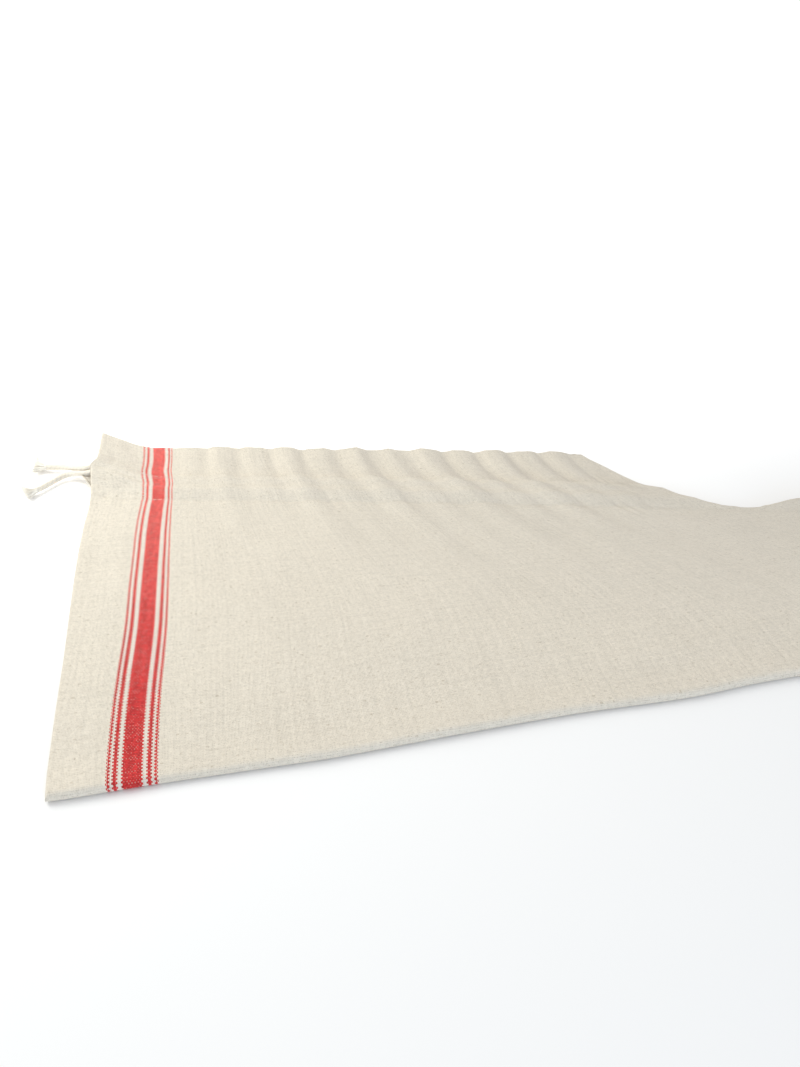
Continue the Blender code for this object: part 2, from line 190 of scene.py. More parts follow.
# Creases where the cords leave the casing, along its stitching and on the plain cloth.
CREASES = table(
    Crease,
    (0.0075, 0.2465, 0.0150, 0.2468, -0.00080, 0.0045),
    (0.0010, 0.2391, 0.0180, 0.2388, -0.00070, 0.0032),
    (0.0125, 0.2336, 0.0290, 0.2235, 0.00060, 0.0042),
    (0.0012, 0.2419, 0.0185, 0.2379, 0.00040, 0.0036),
    (0.0165, 0.2239, 0.0300, 0.2227, -0.00055, 0.0034),
    (0.0060, 0.2187, 0.0118, 0.2175, -0.00100, 0.0050),
    (0.0172, 0.2175, 0.0215, 0.2089, -0.00055, 0.0045),
    (0.0010, 0.1856, 0.0030, 0.1745, -0.00060, 0.0060),
    (0.0030, 0.2600, 0.0090, 0.2520, 0.00035, 0.0050),
    (0.0240, 0.2640, 0.0290, 0.2480, -0.00030, 0.0060),
    (0.0640, 0.1950, 0.0900, 0.1500, -0.00045, 0.0110),
    (0.1350, 0.1700, 0.1620, 0.1080, 0.00050, 0.0150),
    (0.2050, 0.1560, 0.2360, 0.0900, -0.00055, 0.0140),
    (0.2850, 0.1500, 0.3050, 0.0860, 0.00060, 0.0150),
    (0.3450, 0.1200, 0.3750, 0.0600, -0.00055, 0.0160),
    (0.3950, 0.1080, 0.4200, 0.0560, 0.00060, 0.0150),
    (0.2500, 0.0200, 0.3500, 0.0330, 0.00035, 0.0120),
    (0.0600, 0.0430, 0.1600, 0.0360, -0.00030, 0.0130),
)
CREASE_END = 0.45            # share of a crease's height that is left at its ends
# Faint unevenness of the laid cloth.
UNEVEN_WAVES = table(
    Wave,
    (0.083, 0.35, 0.4, 0.00016), (0.061, 1.25, 2.1, 0.00012), (0.047, 2.30, 4.0, 0.00010),
    (0.036, 0.85, 1.2, 0.00007), (0.029, 2.75, 5.1, 0.00005),
)
# Puckers along a line of stitching: length across the flat cloth, phase, share of the depth.
PUCKER_WAVES = table(
    Wave,
    (0.0088, 0.0, 0.3, 0.55), (0.0127, 0.0, 1.9, 0.30), (0.0061, 0.0, 4.4, 0.15),
)
PUCKER_REACH = 0.012
LOWER_TURN = 2.2             # the lower line's puckers stand out of step with the upper line's
PLAIN_PUCKER = 0.30          # share of the puckers on the cloth's undrawn first stretch
PUCKER_START, PUCKER_LENGTH = 0.030, 0.050
STITCH_TROUGH = 0.0016       # half width of the trough that the thread pulls
TROUGH_SHARE = 0.75          # its depth, and the frill's, as shares of the puckers'
FRILL_SHARE = 0.8
FRILL_PITCH, FRILL_PHASE = 0.0155, 0.8
UPPER_BEND, UPPER_BEND_END = 0.0045, 0.030   # the upper stitching bends to the mouth at the left seam
LOWER_DROP = 0.0010          # the lower stitching lies this far under the casing
LOWER_BEND, LOWER_BEND_END = 0.0030, 0.012
RUN_REACH = 0.0042           # half width of the ridge that each run of the cord lifts
RUN_SHARE = 0.28             # its share of the casing's puff

# Rows and columns of the cloth's mesh.
FLAT_LENGTH = 0.280          # nominal, fold to mouth
FOLD_ZONE = 0.021
MOUTH_ZONE = 0.085
FINE_ZONE = 0.064            # below the mouth, where the mesh is divided once more
EDGE_ZONE = 0.0045
SEAM_COLUMNS = [0.0, 0.0003, 0.0008, 0.0015, 0.0025, 0.0040, 0.0060]
FOLD_ROWS = [0.0, 0.0003, 0.0009, 0.0018, 0.0030, 0.0045, 0.0062, 0.0082, 0.0105, 0.0135, 0.0170,
             FOLD_ZONE]
EDGE_ROWS = [0.0028, 0.0016, 0.0007, 0.0]
HEM_ROWS = [0.0045, 0.0080, 0.0110]          # past the turned edge, down inside
CASING_COLUMN, DRAWN_COLUMN, RIGHT_COLUMN = 0.0021, 0.0035, 0.0036
PLAIN_ROW, DRAWN_ROW, MOUTH_ROW = 0.0052, 0.0040, 0.0025
HEM_TURN = 0.0007            # radius of the hem's turned edge
HEM_TURN_STEPS = 6
HEM_TURN_START = 0.0025      # in from the left seam
HEM_TURN_END = MOUTH_END - 0.006
HEM_CLOSING = 0.004          # the mouth closes over this length at its right end
FINE_END = MOUTH_END + 0.016
WOVEN_LENGTH = 0.2790        # weave from the fold to the mouth, the same all along the bag
FOLD_ARC = 1.6               # the way round the bottom fold, in shares of half the laid height
MERGED = 0.000002            # points nearer than this become one
SLOT_HALF = 0.0085           # half of the seam's gap for the cords
LIP_OUT = 0.0080             # the lower layer is drawn out under the cords by this much
LIP_START = 0.2275           # from here up along the seam
LIP_PEAK = 0.2402            # to here
LIP_END = 0.2450             # and back to the seam here
LIP_WIDTH = 0.0075
LIP_DROP = 0.0004
UV_NAME = "towelling"
UPWARDS = Vector((0.0, 0.0, 1.0))


# ---------------------------------------------------------------- curves and rules
def ease(value):
    """Smooth step from 0 to 1."""
    value = np.clip(value, 0.0, 1.0)
    return value * value * (3.0 - 2.0 * value)


def along(curve, at):
    """Values of a smooth curve through a table's points."""
    at = np.asarray(at, dtype=float)
    places, values = np.array(curve).T
    slopes = np.empty(len(curve))
    slopes[1:-1] = (values[2:] - values[:-2]) / (places[2:] - places[:-2])
    slopes[0] = (values[1] - values[0]) / (places[1] - places[0])
    slopes[-1] = (values[-1] - values[-2]) / (places[-1] - places[-2])
    left = np.clip(np.searchsorted(places, at, side="left") - 1, 0, len(curve) - 2)
    span = places[left + 1] - places[left]
    t = (at - places[left]) / span
    return (values[left] * (2 * t ** 3 - 3 * t ** 2 + 1)
            + slopes[left] * span * (t ** 3 - 2 * t ** 2 + t)
            + values[left + 1] * (3 * t ** 2 - 2 * t ** 3)
            + slopes[left + 1] * span * (t ** 3 - t ** 2))


def swell(distance, reach):
    """A soft hump from 1 in the middle down to 0 at its reach."""
    return ease(1.0 - np.abs(distance) / reach)


MOUTH_SLOPE = (MOUTH_EDGE[5].value - MOUTH_EDGE[4].value) / (MOUTH_EDGE[5].at - MOUTH_EDGE[4].at)
MOUTH_COSINE = 1.0 / math.hypot(1.0, MOUTH_SLOPE)
DRAWN_WIDTH = (MOUTH_END - PLAIN_MOUTH) / (BAG_WIDTH - PLAIN_MOUTH)


def below_mouth(x, y):
    """Distance of a point below the mouth's line."""
    return (along(MOUTH_EDGE, x) - y) * MOUTH_COSINE


def casing_middle(x):
    """Distance of the cords' middle line below the mouth."""
    return HEADER + CASING / 2 - EXIT_RISE * (1.0 - ease(x / PLAIN_MOUTH))


def upper_stitching(x):
    """Distance of the casing's upper stitching below the mouth."""
    return HEADER - UPPER_BEND * (1.0 - ease(x / UPPER_BEND_END))


def lower_stitching(x):
    """Distance of the casing's lower stitching below the mouth."""
    return HEADER + CASING + LOWER_DROP - LOWER_BEND * (1.0 - ease(x / LOWER_BEND_END))


def run_spread(x):
    """Each run of the cord from the cords' middle line."""
    return EXIT_SPREAD + (CORD_SPREAD - EXIT_SPREAD) * ease(x / PLAIN_MOUTH)


def across(x, y):
    """Where a point lies across the flat, undrawn bag."""
    drawn = ease(1.0 - below_mouth(x, y) / DRAW_DEPTH)
    return np.where(x <= PLAIN_MOUTH, x,
                    PLAIN_MOUTH + (x - PLAIN_MOUTH) / (1.0 - (1.0 - DRAWN_WIDTH) * drawn))


def top_edge(x):
    """Back edge of the bag's outline: the mouth, which waves over its gathers, then the shoulder."""
    mouth = along(MOUTH_EDGE, x)
    place = across(x, mouth)
    wave = sum(gather.height * swell(place - gather.across, gather.width) for gather in GATHERS)
    return np.where(x > MOUTH_END, along(SHOULDER, x), mouth - FRILL_WAVE * wave)


def floor_lift(x, y):
    """Height of the lower layer's underside: on the floor but for the mouth's left corner."""
    near_corner = np.maximum(0.0, along(CORNER_SHAPE, x))
    return CORNER_LIFT * near_corner * ease((y - LIFT_START) / LIFT_LENGTH)


def leaning(x, y):
    """A drafted place across the bag, moved by the lean of the left seam near it."""
    lean = along(LEFT_SEAM, y) * (1.0 - ease(x / LEAN_WIDTH))
    return x + lean + STEP_IN * ease((y - STEP_START) / STEP_LENGTH) * (1.0 - ease(x / STEP_WIDTH))


def drawn_lip(x, y):
    """Share by which the cords draw out the lower layer, where they leave through the seam."""
    rise = np.clip((y - LIP_START) / (LIP_PEAK - LIP_START), 0.0, 1.0)
    fall = ease((LIP_END - y) / (LIP_END - LIP_PEAK))
    return rise * fall * (1.0 - ease(x / LIP_WIDTH))


def rounding(distance, radius):
    """Share of the full height at a distance in from a rounded edge."""
    inside = 1.0 - np.clip(distance / radius, 0.0, 1.0)
    return np.sqrt(1.0 - inside * inside)


def ripples(waves, x, y=0.0, turn=0.0):
    """Height of a few crossing waves at a point."""
    height = 0.0
    for wave in waves:
        walked = x * math.cos(wave.heading) + y * math.sin(wave.heading)
        height = height + wave.height * np.sin(2 * math.pi * walked / wave.length + wave.start + turn)
    return height


def casing_relief(x, depth):
    """The casing stands up over its cords, a little more over each run than between the two."""
    offset = depth - casing_middle(x)
    plateau = np.maximum(0.0, 1.0 - (offset / (CASING / 2)) ** 4)
    spread = run_spread(x)
    runs = np.maximum(swell(offset - spread, RUN_REACH), swell(offset + spread, RUN_REACH))
    return CASING_PUFF * plateau * (1.0 - RUN_SHARE + RUN_SHARE * runs)


def puckers(place, depth, x, deep):
    """Small puckers that the stitching pulls into the cloth, and the trough along its thread."""
    gathered = PLAIN_PUCKER + (1.0 - PLAIN_PUCKER) * ease((x - PUCKER_START) / PUCKER_LENGTH)
    height = 0.0
    for line, turn in ((upper_stitching(x), 0.0), (lower_stitching(x), LOWER_TURN)):
        ripple = ripples(PUCKER_WAVES, place, turn=turn + math.pi / 2)
        height = height + deep * gathered * ripple * swell(depth - line, PUCKER_REACH)
        height = height - TROUGH_SHARE * deep * swell(depth - line, STITCH_TROUGH)
    frill = np.cos(2 * math.pi * place / FRILL_PITCH + FRILL_PHASE) * ease(1.0 - depth / HEADER)
    return height + FRILL_SHARE * deep * gathered * frill


def creases(x, y):
    """Soft troughs and ridges, as listed."""
    height = 0.0
    for crease in CREASES:
        run_x, run_y = crease.x_to - crease.x_from, crease.y_to - crease.y_from
        share = ((x - crease.x_from) * run_x + (y - crease.y_from) * run_y) / (run_x ** 2 + run_y ** 2)
        share = np.clip(share, 0.0, 1.0)
        away = np.hypot(x - crease.x_from - share * run_x, y - crease.y_from - share * run_y)
        taper = CREASE_END + (1.0 - CREASE_END) * np.sin(math.pi * share)
        height = height + crease.height * taper * swell(away, crease.width)
    return height


def upper_face(x, y, cloth):
    """Height of the upper layer's face over the lower layer's underside."""
    depth = below_mouth(x, y)
    place = across(x, y)
    height = LAID_HEIGHT + FOLD_RISE * swell(y - along(FRONT_EDGE, x), FOLD_REACH)
    height = height + HEADER_RISE * ease(1.0 - depth / HEADER) * ease((x - RISE_START) / RISE_LENGTH)
    height = height + casing_relief(x, depth)
    for gather in GATHERS:
        fade = ease(1.0 - depth / gather.reach)
        height = height + gather.height * swell(place - gather.across, gather.width) * fade
    height = height + puckers(place, depth, x, cloth.pucker_depth)
    height = height + cloth.crease_share * creases(x, y)
    return height + cloth.uneven_share * ripples(UNEVEN_WAVES, x, y)


def shoulder_distance(x, y):
    """Distance in from the drawn shoulder's seam."""
    top, step = top_edge(x), 0.001
    slope = (top - top_edge(x - step)) / step
    return np.where(x > MOUTH_END, (top - y) / np.hypot(1.0, slope), np.hypot(MOUTH_END - x, top - y))


def slot_opening(x, y):
    """How far the left seam stands open, where the cords leave."""
    return swell(below_mouth(x, y) - casing_middle(x), SLOT_HALF) ** 0.6


def layer_heights(x, y, cloth):
    """Heights of the lower and the upper layer's outer faces at a point."""
    under = floor_lift(x, y)
    over = under + upper_face(x, y, cloth)
    from_fold = y - along(FRONT_EDGE, x)
    full = np.maximum(rounding(x, SEAM_ROUND), slot_opening(x, y)) * rounding(BAG_WIDTH - x, SEAM_ROUND)
    full = full * rounding(from_fold, FOLD_ROUND)
    full = full * rounding(shoulder_distance(x, y), SEAM_ROUND)
    middle = under + (over - under) * (0.5 - LOW_FOLD * swell(from_fold, FOLD_REACH))
    return middle + (under - middle) * full, middle + (over - middle) * full


def face_point(x, y, cloth):
    """A point on the upper layer's outer face, in the shared frame."""
    over = layer_heights(np.float64(x), np.float64(y), cloth)[1]
    return Vector((float(leaning(x, y)), float(y), float(over))) + SHIFT


# ---------------------------------------------------------------- common work
def deselect():
    """Leave object mode clean: nothing selected."""
    if bpy.context.object and bpy.context.object.mode != "OBJECT":
        bpy.ops.object.mode_set(mode="OBJECT")
    bpy.ops.object.select_all(action="DESELECT")


def only(item):
    """Make one object the selected and active one."""
    deselect()
    item.select_set(True)
    bpy.context.view_layer.objects.active = item


def mesh_piece(name, points, faces, material):
    """One smooth mesh object from joined points and faces."""
    mesh = bpy.data.meshes.new(name)
    mesh.from_pydata([tuple(point) for point in points], [], [tuple(face) for face in faces])
    mesh.update()
    piece = bpy.data.objects.new(name, mesh)
    bpy.context.scene.collection.objects.link(piece)
    mesh.materials.append(material)
    mesh.polygons.foreach_set("use_smooth", [True] * len(mesh.polygons))
    return piece


def vertex_places(mesh):
    """Places of a mesh's vertices, one row each."""
    places = np.empty(len(mesh.vertices) * 3)
    mesh.vertices.foreach_get("co", places)
    return places.reshape(-1, 3)


def spaced(start, end, pitch):
    """Even steps from one place to another, without the first."""
    count = max(1, round(abs(end - start) / pitch))
    return [start + (end - start) * step / count for step in range(1, count + 1)]


# ---------------------------------------------------------------- materials
class Reading:
    """A number or colour that a material works out at each point; ordinary signs reckon with it."""

    def __init__(self, finish, socket):
        self.finish, self.socket = finish, socket

    def __add__(self, other):
        return self.finish.math("ADD", self, other)

    def __sub__(self, other):
        return self.finish.math("SUBTRACT", self, other)

    def __rsub__(self, other):
        return self.finish.math("SUBTRACT", other, self)

    def __mul__(self, other):
        return self.finish.math("MULTIPLY", self, other)

    def __abs__(self):
        return self.finish.math("ABSOLUTE", self)

    __radd__, __rmul__ = __add__, __mul__


class Finish:
    """A material and a short way to write its nodes."""

    MIX_SHARE, MIX_FIRST, MIX_SECOND, MIX_RESULT = 0, 6, 7, 2     # the colour sockets of a mix node

    def __init__(self, name):
        self.material = bpy.data.materials.new(name)
        self.material.use_nodes = True
        self.tree = self.material.node_tree
        self.shader = self.tree.nodes["Principled BSDF"]

    def feed(self, socket, value):
        """Link a socket to a reading, or set its own value."""
        if isinstance(value, Reading):
            self.tree.links.new(value.socket, socket)
        else:
            socket.default_value = (*value, 1.0) if socket.type == "RGBA" else value

    def node(self, kind, values, output=0, **settings):
        """Add a node, feed its inputs and read one of its outputs."""
        node = self.tree.nodes.new(kind)
        for name, value in settings.items():
            setattr(node, name, value)
        for key, value in values.items():
            self.feed(node.inputs[key], value)
        return Reading(self, node.outputs[output])

    def math(self, operation, *values):
        """One step of reckoning."""
        return self.node("ShaderNodeMath", dict(enumerate(values)), operation=operation)

    def step(self, value, low, high, to_low=0.0, to_high=1.0):
        """Smooth step between two values."""
        return self.node("ShaderNodeMapRange", {"Value": value, "From Min": low, "From Max": high,
                                                "To Min": to_low, "To Max": to_high},
                         interpolation_type="SMOOTHSTEP")

    def mix(self, share, first, second, blend="MIX"):
        """Mix two colours."""
        colours = {self.MIX_SHARE: share, self.MIX_FIRST: first, self.MIX_SECOND: second}
        return self.node("ShaderNodeMix", colours, self.MIX_RESULT, data_type="RGBA", blend_type=blend)

    def shade(self, colour, tone):
        """A colour made lighter or darker by a tone."""
        return self.mix(1.0, colour, self.place(tone, tone, tone), "MULTIPLY")

    def ramp(self, value, stops, interpolation="LINEAR"):
        """A colour for each value, from stops in order."""
        socket = self.node("ShaderNodeValToRGB", {"Fac": value}).socket
        socket.node.color_ramp.interpolation = interpolation
        marks = socket.node.color_ramp.elements
        marks[0].position, marks[1].position = stops[0][0], stops[-1][0]
        for position, _ in stops[1:-1]:
            marks.new(position)
        for mark, (_, colour) in zip(marks, stops):
            mark.color = (*colour, 1.0)
        return Reading(self, socket)

    def noise(self, vector, scale, detail=2.0, roughness=0.5):
        """Soft noise from 0 to 1."""
        return self.node("ShaderNodeTexNoise", {"Vector": vector, "Scale": scale, "Detail": detail,
                                                "Roughness": roughness})

    def streaks(self, across_value, along_value, form):
        """Noise that is drawn out one way, as a smooth step of it."""
        place = self.place(across_value * form.across, along_value * form.along, form.seed)
        return self.step(self.noise(place, 1.0, 1.0), form.low, form.high, form.to_low, form.to_high)

    def place(self, across_value, along_value, third=0.0):
        """A vector from single numbers."""
        return self.node("ShaderNodeCombineXYZ", {"X": across_value, "Y": along_value, "Z": third})

    def parts(self, vector):
        """A vector's first two numbers."""
        return [self.node("ShaderNodeSeparateXYZ", {"Vector": vector}, axis) for axis in "XY"]

    def weave_place(self):
        """The piece's own UV map."""
        return self.node("ShaderNodeUVMap", {}, uv_map=UV_NAME)

    def object_place(self):
        """The place on the piece in the shared frame."""
        return self.node("ShaderNodeTexCoord", {}, "Object")

    def bump(self, height, distance, strength):
        """Small relief from a height."""
        self.set(Normal=self.node("ShaderNodeBump", {"Height": height, "Distance": distance,
                                                     "Strength": strength}))

    def set(self, **values):
        """Set the shader's own sockets, named with underscores."""
        for name, value in values.items():
            self.feed(self.shader.inputs[name.replace("_", " ")], value)


WARP_WANDER, WEFT_WANDER = 0.9, 2.6          # how far threads wander, in threads
WANDER_SCALES = (26.0, 21.0)
FIRST_EDGE = 0.05                  # sets where the first warp thread's edge lies, in threads
TURNOVER = 3.0                     # how sharply a thread goes from over to under
END_SEED, PICK_SEED = 7.31, 5.17   # keep one thread's slubs apart from the next one's
PALE_SPREAD = 0.38                 # how far bleached yarn spreads over red by the mouth, in threads
SPREAD_RANGE = (0.07, 0.17)        # and from where to where up the bag that begins
STRIPE_ENDS = [                    # threads out from the stripe's middle, and the colour up to there
    (6.5, "red"), (9.5, "pale"), (12.5, "red"), (14.5, "pale"), (16.5, "red"),
]
STRIPE_SPAN = 20.0                 # threads that the stripe's colour ramps reach out over
CROWDING = 0.35                    # how much closer the outermost threads lie, in threads
RED_GREEN = 0.2                    # yarn with less green than this is red
PAINTED_LIGHT_RANGE = (0.02, 0.27)          # from where to where up the bag the red is painted paler, as painted light
SLUBS = 270.0                      # slubs and thin places in a metre of thread
SLUB_TONES = (0.35, 0.65, -1.0, 0.8)
TONE_SWING = {"warp": 0.05, "weft": 0.06, "red": 0.14}    # how far the tones of threads differ
RED_SHINE = 0.50                   # share of red that shows in the weft where it crosses a red band
HIDDEN_WEFT = (0.42, 0.62, 0.86, 0.20)                    # less of the weft shows along its thin places
WEFT_EDGE, WEFT_SHOWN = 0.30, 0.60
GAP_EDGES = (0.16, 0.60)
GAP_SHADE = (0.30, 0.27, 0.22)
FLAX_SHADE = (0.56, 0.50, 0.42)
OPEN_PLACES = Streaks(700.0, 480.0, 4.0, 0.42, 0.66, 0.12, 1.0)
FLAX_IN_WARP = Streaks(11.7, 460.0, 9.0, 0.66, 0.78, 0.0, 1.0)
FLAX_IN_WEFT = Streaks(420.0, 9.3, 5.0, 0.70, 0.80, 0.0, 1.0)
THICK_ENDS = Streaks(760.0, 16.0, 2.0, 0.30, 0.60, 0.972, 1.01)
THICK_PICKS = Streaks(22.0, 620.0, 6.0, 0.30, 0.60, 0.975, 1.01)
BROAD_SCALE, BROAD_TONES = 14.0, (0.30, 0.70, 0.985, 1.01)
RELIEF_SHAPE = 0.7                 # flatter tops on the threads' crossings
END_RELIEF, PICK_RELIEF = 0.5, 0.4           # how much the slubs stand up


def stripe_colour(finish, spread, along_cloth, cloth):
    """The warp's colour by its thread's number from the middle of the stripe."""
    # The outermost threads lie closer, and towards the mouth the soft bleached yarn spreads a little
    # over the red one beside it.
    count = abs(spread - 0.5)
    outer = finish.step(count, STRIPE_ENDS[2][0], STRIPE_ENDS[4][0]) * CROWDING
    count = (count + outer) * (1.0 / STRIPE_SPAN)
    ends = [(threads / STRIPE_SPAN, name) for threads, name in STRIPE_ENDS]
    leans = [(place, (float(name == "red"),) * 3) for place, name in ends]
    sway = finish.ramp(count, [(0.0, (0.5,) * 3), *leans, (1.0, (0.5,) * 3)])
    over_red = finish.step(along_cloth, *SPREAD_RANGE, 0.0, 2 * PALE_SPREAD / STRIPE_SPAN)
    count = (sway - 0.5) * over_red + count
    colours = {"red": cloth.stripe_red, "pale": cloth.stripe_pale}
    starts = [0.0] + [place for place, _ in ends]
    tones = [colours[name] for _, name in ends] + [cloth.linen]
    warp = finish.ramp(count, list(zip(starts, tones)), "CONSTANT")

    # Painted light: the red is painted paler towards the mouth, where the light falls brightest.
    green = finish.node("ShaderNodeSeparateColor", {"Color": warp}, "Green")
    is_red = finish.math("LESS_THAN", green, RED_GREEN)
    fade = is_red * finish.step(along_cloth, *PAINTED_LIGHT_RANGE, 0.0, cloth.stripe_painted_light_share)
    return finish.mix(fade, warp, cloth.stripe_red_painted_light), is_red


def linen_finish(cloth):
    """Plain-woven linen towelling: each thread goes over and under, with its slubs and the red warp."""
    finish = Finish("striped linen towelling")
    uv = finish.weave_place()
    across_cloth, along_cloth = finish.parts(uv)

    # Threads wander a little, so that no line of the weave is ruled.
    warp_wander = finish.noise(uv, WANDER_SCALES[0]) * WARP_WANDER + FIRST_EDGE
    weft_wander = finish.noise(finish.place(along_cloth, across_cloth, 3.0), WANDER_SCALES[1])
    warp_place = across_cloth * (1.0 / cloth.warp_pitch) + warp_wander
    weft_place = along_cloth * (1.0 / cloth.weft_pitch) + weft_wander * WEFT_WANDER
    warp_turn, weft_turn = warp_place * math.pi, weft_place * math.pi
    warp_wave, weft_wave = finish.math("SINE", warp_turn), finish.math("SINE", weft_turn)
    crossing = warp_wave * weft_wave
    over_under = finish.math("MINIMUM", finish.math("MAXIMUM", weft_wave * TURNOVER, -1.0), 1.0)
    spread = finish.math("SIGN", finish.math("COSINE", warp_turn)) * over_under
    spread = spread * cloth.bulge + warp_place
    end, pick = finish.math("FLOOR", spread), finish.math("FLOOR", weft_place)

    # Each end and each pick has its own tone, and its slubs along its length.
    end_tone, pick_tone = (finish.node("ShaderNodeTexWhiteNoise", {"W": thread}, noise_dimensions="1D")
                           for thread in (end, pick))
    end_slub = finish.noise(finish.place(end * END_SEED, along_cloth * SLUBS), 1.0, 2.0, 0.6)
    pick_slub = finish.noise(finish.place(across_cloth * SLUBS, pick * PICK_SEED), 1.0, 2.0, 0.6)

    def toned(colour, tone, slub, depth):
        swing = tone - 0.5 + finish.step(slub, *SLUB_TONES)
        return finish.shade(colour, swing * depth + 1.0)

    warp, is_red = stripe_colour(finish, spread, along_cloth, cloth)
    warp = toned(warp, end_tone, end_slub, is_red * TONE_SWING["red"] + TONE_SWING["warp"])
    weft = toned(cloth.weft, pick_tone, pick_slub, TONE_SWING["weft"])
    weft = finish.mix(is_red * RED_SHINE, weft, warp)
    # A weft thread shows between the warp threads, more along one stretch than along the next.
    hidden = finish.step(pick_slub, *HIDDEN_WEFT)
    shown = finish.step(crossing * -1.0, hidden, hidden + WEFT_EDGE, 0.0, WEFT_SHOWN)
    colour = finish.mix(shown, warp, weft)

    # Painted shade: the small gaps between the threads are painted dark, deeper in some places than in
    # others.
    gap = finish.step((1.0 - abs(warp_wave)) * (1.0 - abs(weft_wave)), *GAP_EDGES)
    gap = gap * finish.streaks(across_cloth, along_cloth, OPEN_PLACES)
    colour = finish.mix(gap * cloth.gap_shade_depth, colour, GAP_SHADE, "MULTIPLY")

    # Bits of flax: short darker ticks along a thread.
    ticks = finish.math("MAXIMUM", finish.streaks(end, along_cloth, FLAX_IN_WARP),
                        finish.streaks(across_cloth, pick, FLAX_IN_WEFT))
    colour = finish.mix(ticks * cloth.fleck_depth, colour, FLAX_SHADE, "MULTIPLY")

    # Long faint lines where a thread is thicker, and broad soft changes of tone, as washed yarn has.
    broad = finish.step(finish.noise(uv, BROAD_SCALE, 3.0), *BROAD_TONES)
    broad = broad * finish.streaks(across_cloth, along_cloth, THICK_ENDS)
    broad = broad * finish.streaks(across_cloth, along_cloth, THICK_PICKS)
    finish.set(Base_Color=finish.shade(colour, broad), Roughness=0.92, Sheen_Weight=0.18,
               Sheen_Roughness=0.45, Specular_IOR_Level=0.22)
    relief = finish.math("POWER", abs(crossing), RELIEF_SHAPE)
    relief = relief + end_slub * END_RELIEF + pick_slub * PICK_RELIEF
    finish.bump(relief, cloth.weave_relief, 0.75)
    return finish.material


COTTON_SURFACE = {"Roughness": 0.95, "Sheen_Weight": 0.25, "Sheen_Roughness": 0.5,
                  "Specular_IOR_Level": 0.2}
COTTON_DEPTH = 0.0016              # how deep light gets into loose cotton
COTTON_GLOW = {"Subsurface_Weight": 0.6, "Subsurface_Radius": (1.0, 0.92, 0.80),
               "Subsurface_Scale": COTTON_DEPTH}
FIBRE_TONES = (0.25, 0.75, 0.88, 1.04)
CLOUD_TONES = (0.3, 0.7, 0.96, 1.02)
CORD_FIBRE_TONES = (0.25, 0.75, 0.90, 1.04)
HOLLOW_SHADE_TONES = (0.0, 0.55, 0.90, 1.0)
CORD_STRANDS = 3
SPIN_PITCH = 0.00085               # fine lines across a spun strand
SPIN_TURNS = 5                     # that cross it at a slant, so many to one turn of the cord


def yarn_finish(name, colour, scale):
    """Soft undyed cotton: fine fibres, with soft patches of lighter and darker tone."""
    finish = Finish(name)
    place = finish.object_place()
    fibres = finish.noise(place, scale, 4.0, 0.65)
    clouds = finish.noise(place, scale * 0.12)
    tone = finish.step(fibres, *FIBRE_TONES) * finish.step(clouds, *CLOUD_TONES)
    finish.set(Base_Color=finish.shade(colour, tone), **COTTON_SURFACE)
    finish.bump(fibres, 0.00012, 0.6)
    return finish.material


def cord_finish(cord):
    """Cotton cord: the hollows between the strands are painted darker as painted shade, read from the
    cord's own UV map.
    """
    finish = Finish("twisted cotton cord")
    turn, run = finish.parts(finish.weave_place())
    # Each strand is itself spun.
    spun = finish.math("SINE", run * (2 * math.pi / SPIN_PITCH) + turn * (2 * math.pi * SPIN_TURNS))
    fibres = finish.noise(finish.object_place(), 3200.0, 3.0, 0.6)
    strand = run * (1.0 / cord.twist_pitch) + turn
    # Painted shade: darker along the hollows between the strands.
    hollow_shade = finish.step(abs(finish.math("SINE", strand * (CORD_STRANDS * math.pi))), *HOLLOW_SHADE_TONES)
    tone = hollow_shade * finish.step(fibres, *CORD_FIBRE_TONES)
    finish.set(Base_Color=finish.shade(cord.cotton, tone), **COTTON_SURFACE, **COTTON_GLOW)
    finish.bump(spun * 0.15 + fibres, 0.00009, 0.6)
    return finish.material


# From where to where, going back, the table's painted shade gives way to white, and then the table
# glows as painted light.
PAINTED_SHADE_RANGE, GLOW_RANGE = (-0.06, 0.13), (-0.02, 0.40)


def floor_finish(stage):
    """A matt white tabletop, darker near the front as painted shade, that runs back into a bright white
    backdrop glowing as painted light.
    """
    finish = Finish("matt white tabletop")
    back = finish.parts(finish.object_place())[1]
    tone = finish.step(back, *PAINTED_SHADE_RANGE, stage.floor_near_painted_shade, 1.0)
    glow = finish.step(back, *GLOW_RANGE, 0.0, stage.backdrop_glow)
    finish.set(Base_Color=finish.shade(stage.floor_colour, tone), Roughness=0.9, Specular_IOR_Level=0.1,
               Emission_Color=(1.0, 1.0, 1.0), Emission_Strength=glow)
    return finish.material


# ---------------------------------------------------------------- the cloth
def cloth_columns():
    """Drafted places of the cloth's columns, from the left seam to the right one."""
    seam = SEAM_COLUMNS
    places = seam + spaced(seam[-1], 0.050, CASING_COLUMN) + spaced(0.050, MOUTH_END, DRAWN_COLUMN)
    places += spaced(MOUTH_END, BAG_WIDTH - seam[-1], RIGHT_COLUMN)
    return places + [BAG_WIDTH - step for step in reversed(seam[:-1])]


def cloth_rows():
    """Nominal distances along one layer, from the bottom fold up to the mouth and round its hem."""
    rows = FOLD_ROWS + spaced(FOLD_ZONE, FLAT_LENGTH - MOUTH_ZONE, PLAIN_ROW)
    rows += spaced(rows[-1], FLAT_LENGTH - FINE_ZONE, DRAWN_ROW)
    rows += spaced(rows[-1], FLAT_LENGTH - EDGE_ZONE, MOUTH_ROW)
    rows += [FLAT_LENGTH - step for step in EDGE_ROWS]
    turned = [HEM_TURN * math.pi * step / HEM_TURN_STEPS for step in range(1, HEM_TURN_STEPS + 1)]
    return rows + [FLAT_LENGTH + step for step in turned + HEM_ROWS]


